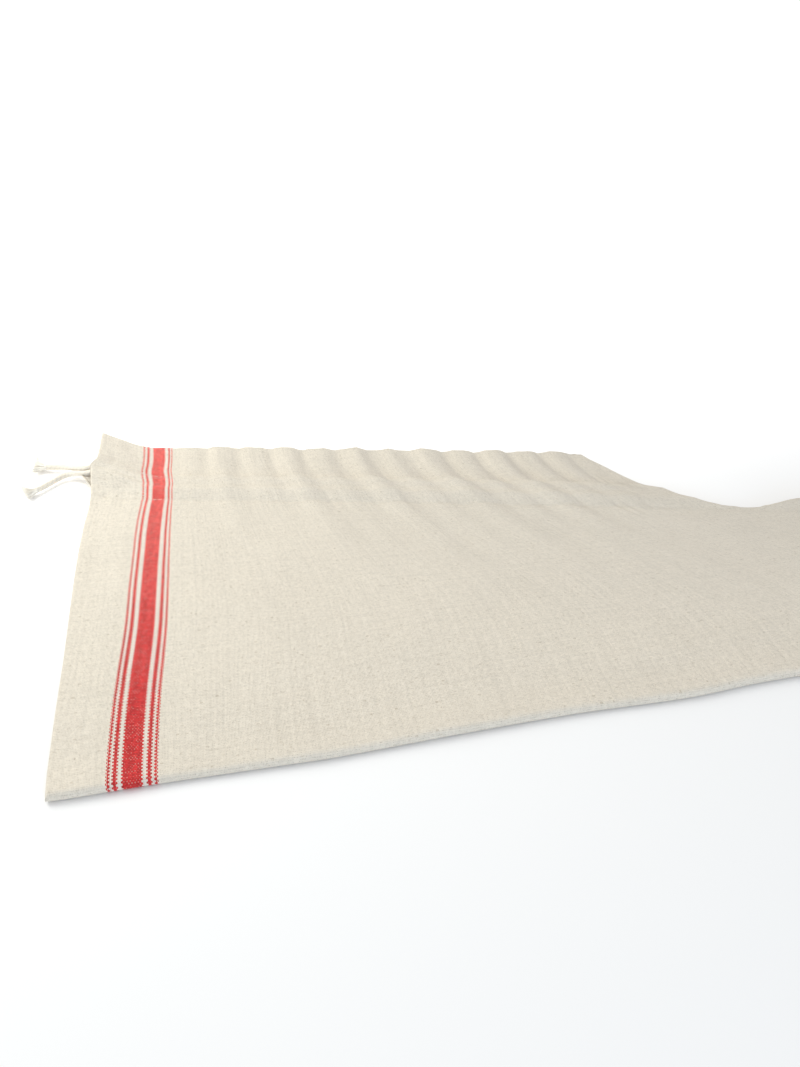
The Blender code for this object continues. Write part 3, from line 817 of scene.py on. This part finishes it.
def select_faces(item, rule):
    """Select the faces whose middles a rule picks, and go to edit mode."""
    only(item)
    bpy.ops.object.mode_set(mode="EDIT")
    bpy.ops.mesh.select_all(action="DESELECT")
    bpy.ops.mesh.select_mode(type="FACE")
    bpy.ops.object.mode_set(mode="OBJECT")
    for face in item.data.polygons:
        face.select = bool(rule(face.center.x, abs(face.center.y)))
    bpy.ops.object.mode_set(mode="EDIT")


def seam_arc(distance, radius, half_height):
    """How much longer the way round a rounded edge is than straight in, up to a distance."""
    steps = np.linspace(0.0, radius, 60)
    heights = half_height * rounding(steps, radius)
    length = np.concatenate(([0.0], np.cumsum(np.hypot(np.diff(steps), np.diff(heights)))))
    return np.interp(distance, steps, length - steps)


def woven_place(x, y, past_hem, front):
    """A point's place in the weave: across from the stripe's middle, along from the bottom fold."""
    half = LAID_HEIGHT / 2
    weave_x = (across(x, y) - along(STRIPE_PLACE, y)) / along(WARP_CLOSENESS, y)
    weave_x = weave_x + seam_arc(x, SEAM_ROUND, half) - seam_arc(np.float64(1.0), SEAM_ROUND, half)
    reach = along(MOUTH_EDGE, x) - front
    rise = np.clip((y - front) / reach, 0.0, 1.2)
    weave_y = (y - front) + (WOVEN_LENGTH - reach) * rise ** 2
    weave_y = weave_y + seam_arc(y - front, FOLD_ROUND, half * FOLD_ARC)
    return weave_x, weave_y + 2 * past_hem


def laid_points(flat_x, flat_y, cloth):
    """Where each point of the flat length of towelling lies on the bag, and its place in the weave."""
    x = np.clip(flat_x, 0.0, BAG_WIDTH)
    x[np.abs(x) < 1e-6] = 0.0
    x[np.abs(x - BAG_WIDTH) < 1e-6] = BAG_WIDTH
    run, upper = np.abs(flat_y), flat_y >= 0.0
    front, back = along(FRONT_EDGE, x), top_edge(x)

    # The turned hem goes half round, then back down inside.
    radius = HEM_TURN * ease((MOUTH_END - x) / HEM_CLOSING)
    past = np.maximum(run - FLAT_LENGTH, 0.0)
    turn = np.minimum(past / np.maximum(radius, 1e-7), math.pi)
    inside = np.maximum(past - math.pi * radius, 0.0)
    hem_depth = radius * (1.0 - np.sin(turn)) + inside
    hem_drop = radius * (1.0 - np.cos(turn))

    from_mouth = np.where(past > 0.0, hem_depth, radius + FLAT_LENGTH - run)
    middle_start, middle_end = front + FOLD_ZONE, back - radius - MOUTH_ZONE
    share = (run - FOLD_ZONE) / (FLAT_LENGTH - MOUTH_ZONE - FOLD_ZONE)
    y = np.where(run <= FOLD_ZONE, front + run, middle_start + (middle_end - middle_start) * share)
    y = np.where(run >= FLAT_LENGTH - MOUTH_ZONE, back - from_mouth, y)

    under, over = layer_heights(x, y, cloth)
    z = np.where(upper, over - hem_drop, under + hem_drop)
    lip = np.where(upper, 0.0, drawn_lip(x, y))
    points = np.stack([leaning(x, y) - LIP_OUT * lip, y, z - LIP_DROP * lip], axis=1) + np.array(SHIFT)
    weave_x, weave_y = woven_place(x, y, past, front)
    return points, weave_x, np.where(upper, weave_y, -weave_y)


def make_cloth(cloth, material):
    """The bag: one length of towelling, folded at the bottom and sewn up both sides."""
    columns, rows = cloth_columns(), cloth_rows()
    lines = [-row for row in reversed(rows[1:])] + rows
    deselect()
    bpy.ops.mesh.primitive_grid_add(x_subdivisions=len(columns) - 1, y_subdivisions=len(lines) - 1,
                                    size=1.0, calc_uvs=False)
    bag = bpy.context.object
    mesh = bag.data
    bag.name = mesh.name = "bag_towelling"
    flat = vertex_places(mesh)
    for axis, places in enumerate((columns, lines)):
        number = np.rint((flat[:, axis] + 0.5) * (len(places) - 1)).astype(int)
        flat[:, axis] = np.array(places)[number]
    mesh.vertices.foreach_set("co", flat.ravel())
    mesh.update()

    # Close to the mouth both layers are divided once more, for the casing's puckers.
    fine_start, fine_end = FLAT_LENGTH - FINE_ZONE, FLAT_LENGTH - EDGE_ZONE
    select_faces(bag, lambda x, run: fine_start < run < fine_end and x < FINE_END)
    bpy.ops.mesh.subdivide(number_cuts=1)
    bpy.ops.object.mode_set(mode="OBJECT")
    select_faces(bag, lambda x, run: run > FLAT_LENGTH and not HEM_TURN_START < x < HEM_TURN_END)
    bpy.ops.mesh.delete(type="FACE")
    bpy.ops.object.mode_set(mode="OBJECT")

    flat = vertex_places(mesh)
    points, weave_x, weave_y = laid_points(flat[:, 0].copy(), flat[:, 1].copy(), cloth)
    loops = np.empty(len(mesh.loops), dtype=int)
    mesh.loops.foreach_get("vertex_index", loops)
    weave = mesh.uv_layers.new(name=UV_NAME)
    weave.data.foreach_set("uv", np.stack([weave_x[loops], weave_y[loops]], axis=1).ravel())
    mesh.vertices.foreach_set("co", points.ravel())
    mesh.update()

    only(bag)
    bpy.ops.object.mode_set(mode="EDIT")
    bpy.ops.mesh.select_all(action="SELECT")
    bpy.ops.mesh.remove_doubles(threshold=MERGED)
    bpy.ops.object.mode_set(mode="OBJECT")
    wall = bag.modifiers.new("cloth", "SOLIDIFY")
    wall.thickness = cloth.thickness
    wall.offset = -1.0
    wall.use_even_offset = False
    wall.use_rim = True
    bpy.ops.object.modifier_apply(modifier=wall.name)
    mesh.polygons.foreach_set("use_smooth", [True] * len(mesh.polygons))
    mesh.materials.append(material)
    return bag


STITCHED = (0.0012, MOUTH_END - 0.0015, 0.0002)     # from, to and step along the mouth
STITCH_SHARES = (0.10, 0.90)       # where the thread comes up and goes down, as shares of a stitch
STITCH_STANDING = 0.18             # how far a stitch stands off the cloth, as a share of its thread
STITCH_HEIGHT = 0.8                # its height as a share of its width


def stitch_places(stitching, cloth):
    """Both ends of each stitch along one line of the casing."""
    places = np.arange(*STITCHED)
    lows = along(MOUTH_EDGE, places) - stitching(places) / MOUTH_COSINE
    walked = across(places, lows)
    stitches = []
    for step in range(int((walked[-1] - walked[0]) / cloth.stitch_pitch)):
        ends = []
        for share in STITCH_SHARES:
            x = float(np.interp(walked[0] + (step + share) * cloth.stitch_pitch, walked, places))
            y = float(along(MOUTH_EDGE, x) - stitching(x) / MOUTH_COSINE)
            ends.append(face_point(x, y, cloth))
        stitches.append(ends)
    return stitches


def make_stitching(cloth, material):
    """Two lines of stitches that hold the casing."""
    deselect()
    bpy.ops.mesh.primitive_uv_sphere_add(segments=6, ring_count=5, radius=0.5)
    bead = bpy.context.object
    bead_points = [tuple(vertex.co) for vertex in bead.data.vertices]
    bead_faces = sorted(tuple(face.vertices) for face in bead.data.polygons)
    bpy.data.objects.remove(bead, do_unlink=True)
    points, faces = [], []
    for start, end in stitch_places(upper_stitching, cloth) + stitch_places(lower_stitching, cloth):
        run = end - start
        heading = run / run.length
        side = UPWARDS.cross(heading).normalized()
        rise = heading.cross(side)
        middle = (start + end) / 2 + rise * (cloth.stitch_thread * STITCH_STANDING)
        first = len(points)
        points += [middle + heading * (z * run.length) + side * (x * cloth.stitch_thread)
                   + rise * (y * cloth.stitch_thread * STITCH_HEIGHT) for x, y, z in bead_points]
        faces += [tuple(first + corner for corner in face) for face in bead_faces]
    return mesh_piece("casing_stitches", points, faces, material)


# ---------------------------------------------------------------- the drawstring
ROUTE_STEPS = 10                   # points of a cord's path from one place of its route to the next
CORD_SIDES = 21
LOBE_SHAPE = 0.6                   # rounder strands, sharper hollows
CORD_TIP = 0.0003                  # the cord's closed ends bulge out by this much
YARN_SIDES, YARN_STEPS = 5, 8
YARN_RADII = (0.38, 0.58)          # thinnest and thickest, as shares of a yarn's thickness
YARN_LENGTHS = (0.92, 1.06)        # shortest and longest, as shares of the fan's reach
YARN_CURL = 0.00035                # how far it waves to each side, at most
YARN_TAPER = 0.35                  # share of its radius that is gone at its tip
TUFT_SEED = 11
TUFT_ROOT = 0.0020                 # the yarns begin this far inside the cord
NECK_SHARE = 0.36                  # half width of the bundle there, in the cord's diameters
BEND_AT, BEND_SHARE = 0.42, 0.12   # share of the reach where the yarns bend apart, and their spread
FAN_SHARE = 0.54                   # half width of the fan's far edge
FAN_STACK = 0.42                   # half of the fan's height that the yarns take up


def cord_start(offset, diameter):
    """Where one free end of the drawstring begins, just inside the left seam."""
    x = RUN_START
    y = along(MOUTH_EDGE, x) - (casing_middle(x) - offset) / MOUTH_COSINE
    z = floor_lift(x, y) + SOLID_CLOTH + CLEARANCE + diameter / 2
    return Vector((float(leaning(x, y)) - JOINT_GAP, float(y), float(z)))


def cord_path(end, diameter):
    """Middle line of one free end, from just inside the seam to its tuft."""
    anchors = [cord_start(EXIT_OFFSETS[end], diameter)] + [Vector(point) for point in CORD_ROUTES[end]]
    path = []
    for index, (here, there) in enumerate(zip(anchors, anchors[1:])):
        before = anchors[max(index - 1, 0)]
        after = anchors[min(index + 2, len(anchors) - 1)]
        for step in range(ROUTE_STEPS):
            t = step / ROUTE_STEPS
            path.append(0.5 * (2 * here + (there - before) * t
                               + (2 * before - 5 * here + 4 * there - after) * t ** 2
                               + (3 * here - before - 3 * there + after) * t ** 3))
    return [point + SHIFT for point in path + [anchors[-1]]]


def cross_frames(path):
    """Heading, side and upward directions at each point of a path."""
    frames = []
    for index in range(len(path)):
        heading = (path[min(index + 1, len(path) - 1)] - path[max(index - 1, 0)]).normalized()
        side = UPWARDS.cross(heading).normalized()
        frames.append((heading, side, heading.cross(side)))
    return frames


def path_length(path):
    """Length of a path through its points."""
    return sum((there - here).length for here, there in zip(path, path[1:]))


def ring(middle, side, rise, radii):
    """Points of one ring of a tube, one for each radius."""
    turns = [2 * math.pi * corner / len(radii) for corner in range(len(radii))]
    return [middle + side * (radius * math.cos(turn)) + rise * (radius * math.sin(turn))
            for radius, turn in zip(radii, turns)]


def tube_faces(first, rings, sides):
    """Faces of a tube whose rings of points follow each other from the first point on."""
    faces = []
    for low in range(first, first + (rings - 1) * sides, sides):
        for corner in range(sides):
            after = (corner + 1) % sides
            faces.append((low + corner, low + after, low + sides + after, low + sides + corner))
    return faces


def make_cord(name, path, cord, material):
    """Three strands laid up into one cord, as a closed tube with a lobed section."""
    frames = cross_frames(path)
    points, rows = [], []
    for index, (middle, (_, side, rise)) in enumerate(zip(path, frames)):
        rows.append(rows[-1] + (middle - path[index - 1]).length if index else 0.0)
        turn = rows[-1] / cord.twist_pitch
        radii = []
        for corner in range(CORD_SIDES):
            lobe = abs(math.sin(CORD_STRANDS * math.pi * (corner / CORD_SIDES + turn))) ** LOBE_SHAPE
            radii.append(cord.diameter / 2 * (1.0 - cord.twist_depth * (1.0 - lobe)))
        points += ring(middle, side, rise, radii)
    faces = tube_faces(0, len(path), CORD_SIDES)
    first, last = len(points), len(points) + 1
    points += [path[0] - frames[0][0] * CORD_TIP, path[-1] + frames[-1][0] * CORD_TIP]
    tail = (len(path) - 1) * CORD_SIDES
    for corner in range(CORD_SIDES):
        after = (corner + 1) % CORD_SIDES
        faces += [(first, after, corner), (last, tail + corner, tail + after)]
    piece = mesh_piece(name, points, faces, material)

    # The cord's UV map: turns around it, and metres along it. One turn's last face closes past 1.
    weave = piece.data.uv_layers.new(name=UV_NAME)
    for face in piece.data.polygons:
        corners = [vertex % CORD_SIDES for vertex in face.vertices]
        seam = max(corners) - min(corners) > CORD_SIDES / 2
        for loop, vertex, corner in zip(face.loop_indices, face.vertices, corners):
            turn = (corner + (CORD_SIDES if seam and corner < CORD_SIDES / 2 else 0)) / CORD_SIDES
            weave.data[loop].uv = (turn, rows[min(vertex // CORD_SIDES, len(rows) - 1)])
    return piece


def make_tuft(name, path, tuft, cord, material, seed):
    """The cord's unravelled end: many fine yarns that spread into a soft flat fan."""
    chance = random.Random(seed)
    end = path[-1]
    heading, side, _ = cross_frames(path)[-1]
    level = Vector((heading.x, heading.y, 0.0)).normalized()
    far_middle = Vector((tuft.x, tuft.y, 0.0)) + SHIFT
    far_side = Vector((tuft.edge_x, tuft.edge_y, 0.0)).normalized()
    far_side = far_side if far_side.dot(side) > 0.0 else -far_side
    reach = (far_middle - end).length
    points, faces = [], []
    for _ in range(cord.tuft_yarns):
        spread = chance.uniform(-1.0, 1.0)
        spread = math.copysign(abs(spread) ** 0.9, spread)
        stack = chance.uniform(-1.0, 1.0) * math.sqrt(1.0 - 0.8 * spread * spread)
        length = chance.uniform(*YARN_LENGTHS) * (1.0 - 0.04 * spread * spread)
        curl, phase = chance.uniform(0.0, YARN_CURL), chance.uniform(0.0, 6.28)
        radius = cord.yarn * chance.uniform(*YARN_RADII)
        near = end - level * TUFT_ROOT + side * (spread * cord.diameter * NECK_SHARE)
        bend = end + level * (reach * BEND_AT) + side * (spread * tuft.width * BEND_SHARE)
        far = far_middle + far_side * (spread * tuft.width * FAN_SHARE)
        far = end + (far - end) * length
        yarn = []
        for step in range(YARN_STEPS + 1):
            t = step / YARN_STEPS
            place = near * (1.0 - t) ** 2 + bend * (2.0 * t * (1.0 - t)) + far * t ** 2
            place = place + side * (curl * math.sin(5.0 * t + phase) * t)
            flare = t ** 1.25
            height = (end.z + stack * cord.diameter * NECK_SHARE) * (1.0 - flare)
            height += TUFT_HEIGHT * (0.5 + stack * FAN_STACK) * flare
            place.z = max(height + curl * math.cos(6.0 * t + phase) * t, radius + 0.0001)
            yarn.append(place)
        first = len(points)
        for index, (middle, (_, yarn_side, yarn_rise)) in enumerate(zip(yarn, cross_frames(yarn))):
            thin = radius * (1.0 - YARN_TAPER * (index / YARN_STEPS) ** 3)
            points += ring(middle, yarn_side, yarn_rise, [thin] * YARN_SIDES)
        faces += tube_faces(first, len(yarn), YARN_SIDES)
        faces.append(tuple(first + corner for corner in reversed(range(YARN_SIDES))))
        faces.append(tuple(len(points) - YARN_SIDES + corner for corner in range(YARN_SIDES)))
    return mesh_piece(name, points, faces, material)


# ---------------------------------------------------------------- properties
def length_setting(name, description, default):
    """A length that a user can change."""
    return bpy.props.FloatProperty(name=name, description=description, default=default, unit="LENGTH",
                                   precision=5)


def share_setting(name, description, default):
    """A share, from none to all."""
    return bpy.props.FloatProperty(name=name, description=description, default=default,
                                   subtype="FACTOR")


def colour_setting(name, description, default):
    """A colour."""
    return bpy.props.FloatVectorProperty(name=name, description=description, default=default,
                                         subtype="COLOR")


class BreadBagCloth(bpy.types.PropertyGroup):
    """Sizes and colours of the towelling and its stitching."""

    thickness: length_setting("Thickness", "Thickness of one layer of towelling", 0.0006)
    warp_pitch: length_setting("Warp pitch", "Distance between warp threads", 0.00066)
    weft_pitch: length_setting("Weft pitch", "Distance between weft threads", 0.00096)
    bulge: share_setting("Warp bulge", "How far a warp thread spreads over its neighbours, in threads",
                         0.54)
    weave_relief: length_setting("Weave relief", "Height of the weave", 0.00020)
    # The gaps' darkness is painted shade.
    gap_shade_depth: share_setting("Gap shade", "How dark the gaps between threads are", 0.80)
    fleck_depth: share_setting("Fleck depth", "How dark the bits of flax are", 0.50)
    pucker_depth: length_setting("Pucker depth", "Depth of the puckers along the stitching", 0.00040)
    crease_share: share_setting("Creases", "Strength of the hand-set creases", 1.0)
    uneven_share: share_setting("Unevenness", "Strength of the cloth's faint waves", 1.0)
    stitch_pitch: length_setting("Stitch length", "Distance from stitch to stitch", 0.0030)
    stitch_thread: length_setting("Sewing thread", "Thickness of the sewing thread", 0.00042)
    linen: colour_setting("Linen", "Undyed warp", (0.708, 0.640, 0.535))
    weft: colour_setting("Weft", "Undyed weft", (0.606, 0.538, 0.440))
    stripe_red: colour_setting("Stripe red", "Red warp", (0.545, 0.028, 0.027))
    # The red warp's paler colour towards the mouth, and its share, are painted light.
    stripe_red_painted_light: colour_setting("Red in painted light", "Red warp where it has faded", (0.710, 0.106, 0.088))
    stripe_painted_light_share: share_setting("Painted light on red", "How much the red has faded at the mouth", 1.0)
    stripe_pale: colour_setting("Stripe white", "Bleached warp between the red bands",
                                (0.700, 0.630, 0.545))
    thread_colour: colour_setting("Sewing thread colour", "Colour of the casing's stitches",
                                  (0.70, 0.64, 0.55))


class BreadBagCord(bpy.types.PropertyGroup):
    """Sizes and colours of the drawstring."""

    diameter: length_setting("Diameter", "Thickness of the drawstring", 0.0037)
    twist_pitch: length_setting("Twist", "Length of one full turn of the strands", 0.0105)
    twist_depth: share_setting("Strand depth", "Depth of the hollows between the strands", 0.07)
    tuft_yarns: bpy.props.IntProperty(
        name="Yarns", description="Number of yarns in each tuft", default=240, min=12, max=400)
    yarn: length_setting("Yarn", "Thickness of one yarn", 0.00034)
    cotton: colour_setting("Cotton", "Colour of the undyed cotton", (0.72, 0.66, 0.56))
    loose_cotton: colour_setting("Loose yarn", "Colour of the unravelled yarn", (0.91, 0.86, 0.765))


class BreadBagStage(bpy.types.PropertyGroup):
    """Table, light and camera."""

    floor_colour: colour_setting("Table", "Colour of the tabletop", (1.0, 0.985, 0.965))
    # The table's darker near part is painted shade, and the backdrop's glow is painted light.
    floor_near_painted_shade: share_setting("Painted shade on table front", "Tone of the table's near part against the rest", 0.84)
    backdrop_glow: share_setting("Backdrop glow", "Light that the far backdrop gives of its own", 0.30)
    sky_colour: colour_setting("Sky", "Colour of the light from all round", (0.935, 0.945, 0.970))
    sky_strength: share_setting("Sky strength", "Strength of the light from all round", 0.89)
    key_power: bpy.props.FloatProperty(
        name="Window", description="Power of the window's light", default=2.78, unit="POWER")
    fill_power: bpy.props.FloatProperty(
        name="Fill", description="Power of the light from the front", default=5.5, unit="POWER")
    lens: bpy.props.FloatProperty(
        name="Lens", description="Focal length on a frame 36 mm high", default=27.9, unit="CAMERA")


# ---------------------------------------------------------------- operators
TABLE_SIZE = 30.0
TABLE_DROP = 0.0002                # the table lies this far under the floor that the bag rests on
LIGHTS = table(
    Light,
    ("window", (-0.45, 0.25, 0.42), 0.44, (0.975, 1.0, 0.945), "key_power"),
    ("room", (0.10, -1.20, 0.16), 0.50, (0.483, 0.72, 1.0), "fill_power"),
)
CAMERA_PLACE = Vector((0.105, -0.2328, 0.300))
CAMERA_HEADING, CAMERA_DIP = math.radians(11.25), math.radians(37.6)


class BREADBAG_OT_towelling(bpy.types.Operator):
    """Sew the bag from one length of striped towelling"""

    bl_idname = "breadbag.towelling"
    bl_label = "Towelling"

    def execute(self, context):
        cloth = context.scene.bread_bag_cloth
        bag = make_cloth(cloth, linen_finish(cloth))
        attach(bag, "root")
        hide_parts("bag")
        return {"FINISHED"}


class BREADBAG_OT_stitching(bpy.types.Operator):
    """Sew the casing's two lines of stitches"""

    bl_idname = "breadbag.stitching"
    bl_label = "Casing stitches"

    def execute(self, context):
        cloth = context.scene.bread_bag_cloth
        thread = yarn_finish("sewing thread", cloth.thread_colour, scale=2600.0)
        stitches = make_stitching(cloth, thread)
        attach(stitches, "root")
        return {"FINISHED"}


class BREADBAG_OT_casing_cord(bpy.types.Operator):
    """Give the drawstring inside the casing its cotton finish"""

    bl_idname = "breadbag.casing_cord"
    bl_label = "Drawstring in the casing"

    def execute(self, context):
        cord = context.scene.bread_bag_cord
        cotton = yarn_finish("cotton cord in the casing", cord.cotton, scale=1500.0)
        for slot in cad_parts["cord_in_casing"].material_slots:
            slot.material = cotton
        return {"FINISHED"}


class BREADBAG_OT_cord_ends(bpy.types.Operator):
    """Lay the drawstring's two free ends, each with its tuft"""

    bl_idname = "breadbag.cord_ends"
    bl_label = "Free ends and tufts"

    def execute(self, context):
        cord = context.scene.bread_bag_cord
        twisted = cord_finish(cord)
        loose = yarn_finish("unravelled cotton yarn", cord.loose_cotton, scale=2400.0)
        for seed, end in enumerate(CORD_ROUTES):
            path = cord_path(end, cord.diameter)
            piece = make_cord("cord_" + end, path, cord, twisted)
            tuft = make_tuft("yarns_" + end, path, TUFTS[end], cord, loose, TUFT_SEED + seed)
            for item, node in ((piece, "cord_end_" + end), (tuft, "tuft_" + end)):
                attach(item, "root")
                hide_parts(node)
            path_length(path)
        return {"FINISHED"}


class BREADBAG_OT_stage(bpy.types.Operator):
    """Set the white tabletop, the window's light and the camera"""

    bl_idname = "breadbag.stage"
    bl_label = "Table, light and camera"

    def execute(self, context):
        stage = context.scene.bread_bag_stage
        deselect()
        bpy.ops.mesh.primitive_plane_add(size=1.0)
        tabletop = context.object
        tabletop.name = "tabletop"
        for vertex in tabletop.data.vertices:
            vertex.co = (vertex.co.x * TABLE_SIZE, vertex.co.y * TABLE_SIZE, -TABLE_DROP)
        tabletop.data.materials.append(floor_finish(stage))

        world = bpy.data.worlds.new("soft white room")
        world.use_nodes = True
        sky = world.node_tree.nodes["Background"]
        sky.inputs["Color"].default_value = (*stage.sky_colour, 1.0)
        sky.inputs["Strength"].default_value = stage.sky_strength
        context.scene.world = world
        for form in LIGHTS:
            bpy.ops.object.light_add(type="AREA", location=form.place)
            light = context.object
            light.name = form.name
            light.data.size = form.size
            light.data.energy = getattr(stage, form.power)
            light.data.color = form.colour
            light.visible_camera = False
            light.rotation_euler = (-Vector(form.place)).to_track_quat("-Z", "Y").to_euler()

        forward = Vector((math.sin(CAMERA_HEADING) * math.cos(CAMERA_DIP),
                          math.cos(CAMERA_HEADING) * math.cos(CAMERA_DIP), -math.sin(CAMERA_DIP)))
        right = Vector((math.cos(CAMERA_HEADING), -math.sin(CAMERA_HEADING), 0.0))
        turn = Matrix((right, right.cross(forward), -forward)).transposed()
        bpy.ops.object.camera_add()
        camera = context.object
        camera.name = "viewer"
        camera.data.sensor_fit = "VERTICAL"
        camera.data.sensor_height = 36.0
        camera.data.lens = stage.lens
        camera.data.clip_start = 0.01
        camera.data.dof.use_dof = False
        camera.matrix_world = Matrix.Translation(CAMERA_PLACE + SHIFT) @ turn.to_4x4()
        context.scene.camera = camera
        context.scene.view_settings.view_transform = "Standard"
        return {"FINISHED"}


class BREADBAG_PT_pieces(bpy.types.Panel):
    """Lists the bag's pieces and their sizes"""

    bl_idname = "BREADBAG_PT_pieces"
    bl_label = "Linen bread bag"
    bl_space_type = "VIEW_3D"
    bl_region_type = "UI"
    bl_category = "Bread bag"

    def draw(self, context):
        for name, (_, operators) in GROUPS.items():
            box = self.layout.box()
            for operator in operators:
                box.operator(operator.bl_idname)
            settings = getattr(context.scene, name)
            for setting in settings.__annotations__:
                box.prop(settings, setting)


GROUPS = {
    "bread_bag_cloth": (BreadBagCloth, (BREADBAG_OT_towelling, BREADBAG_OT_stitching)),
    "bread_bag_cord": (BreadBagCord, (BREADBAG_OT_casing_cord, BREADBAG_OT_cord_ends)),
    "bread_bag_stage": (BreadBagStage, (BREADBAG_OT_stage,)),
}
CLASSES = [item for group, operators in GROUPS.values() for item in (group, *operators)]
CLASSES.append(BREADBAG_PT_pieces)


def register():
    for item in CLASSES:
        bpy.utils.register_class(item)
    for name, (group, _) in GROUPS.items():
        setattr(bpy.types.Scene, name, bpy.props.PointerProperty(type=group))


def unregister():
    for name in GROUPS:
        delattr(bpy.types.Scene, name)
    for item in reversed(CLASSES):
        bpy.utils.unregister_class(item)


def main():
    register()
    bpy.ops.breadbag.stage()
    bpy.ops.breadbag.cord_ends()
    bpy.ops.breadbag.casing_cord()
    bpy.ops.breadbag.towelling()
    bpy.ops.breadbag.stitching()


if __name__ == "__main__":
    main()
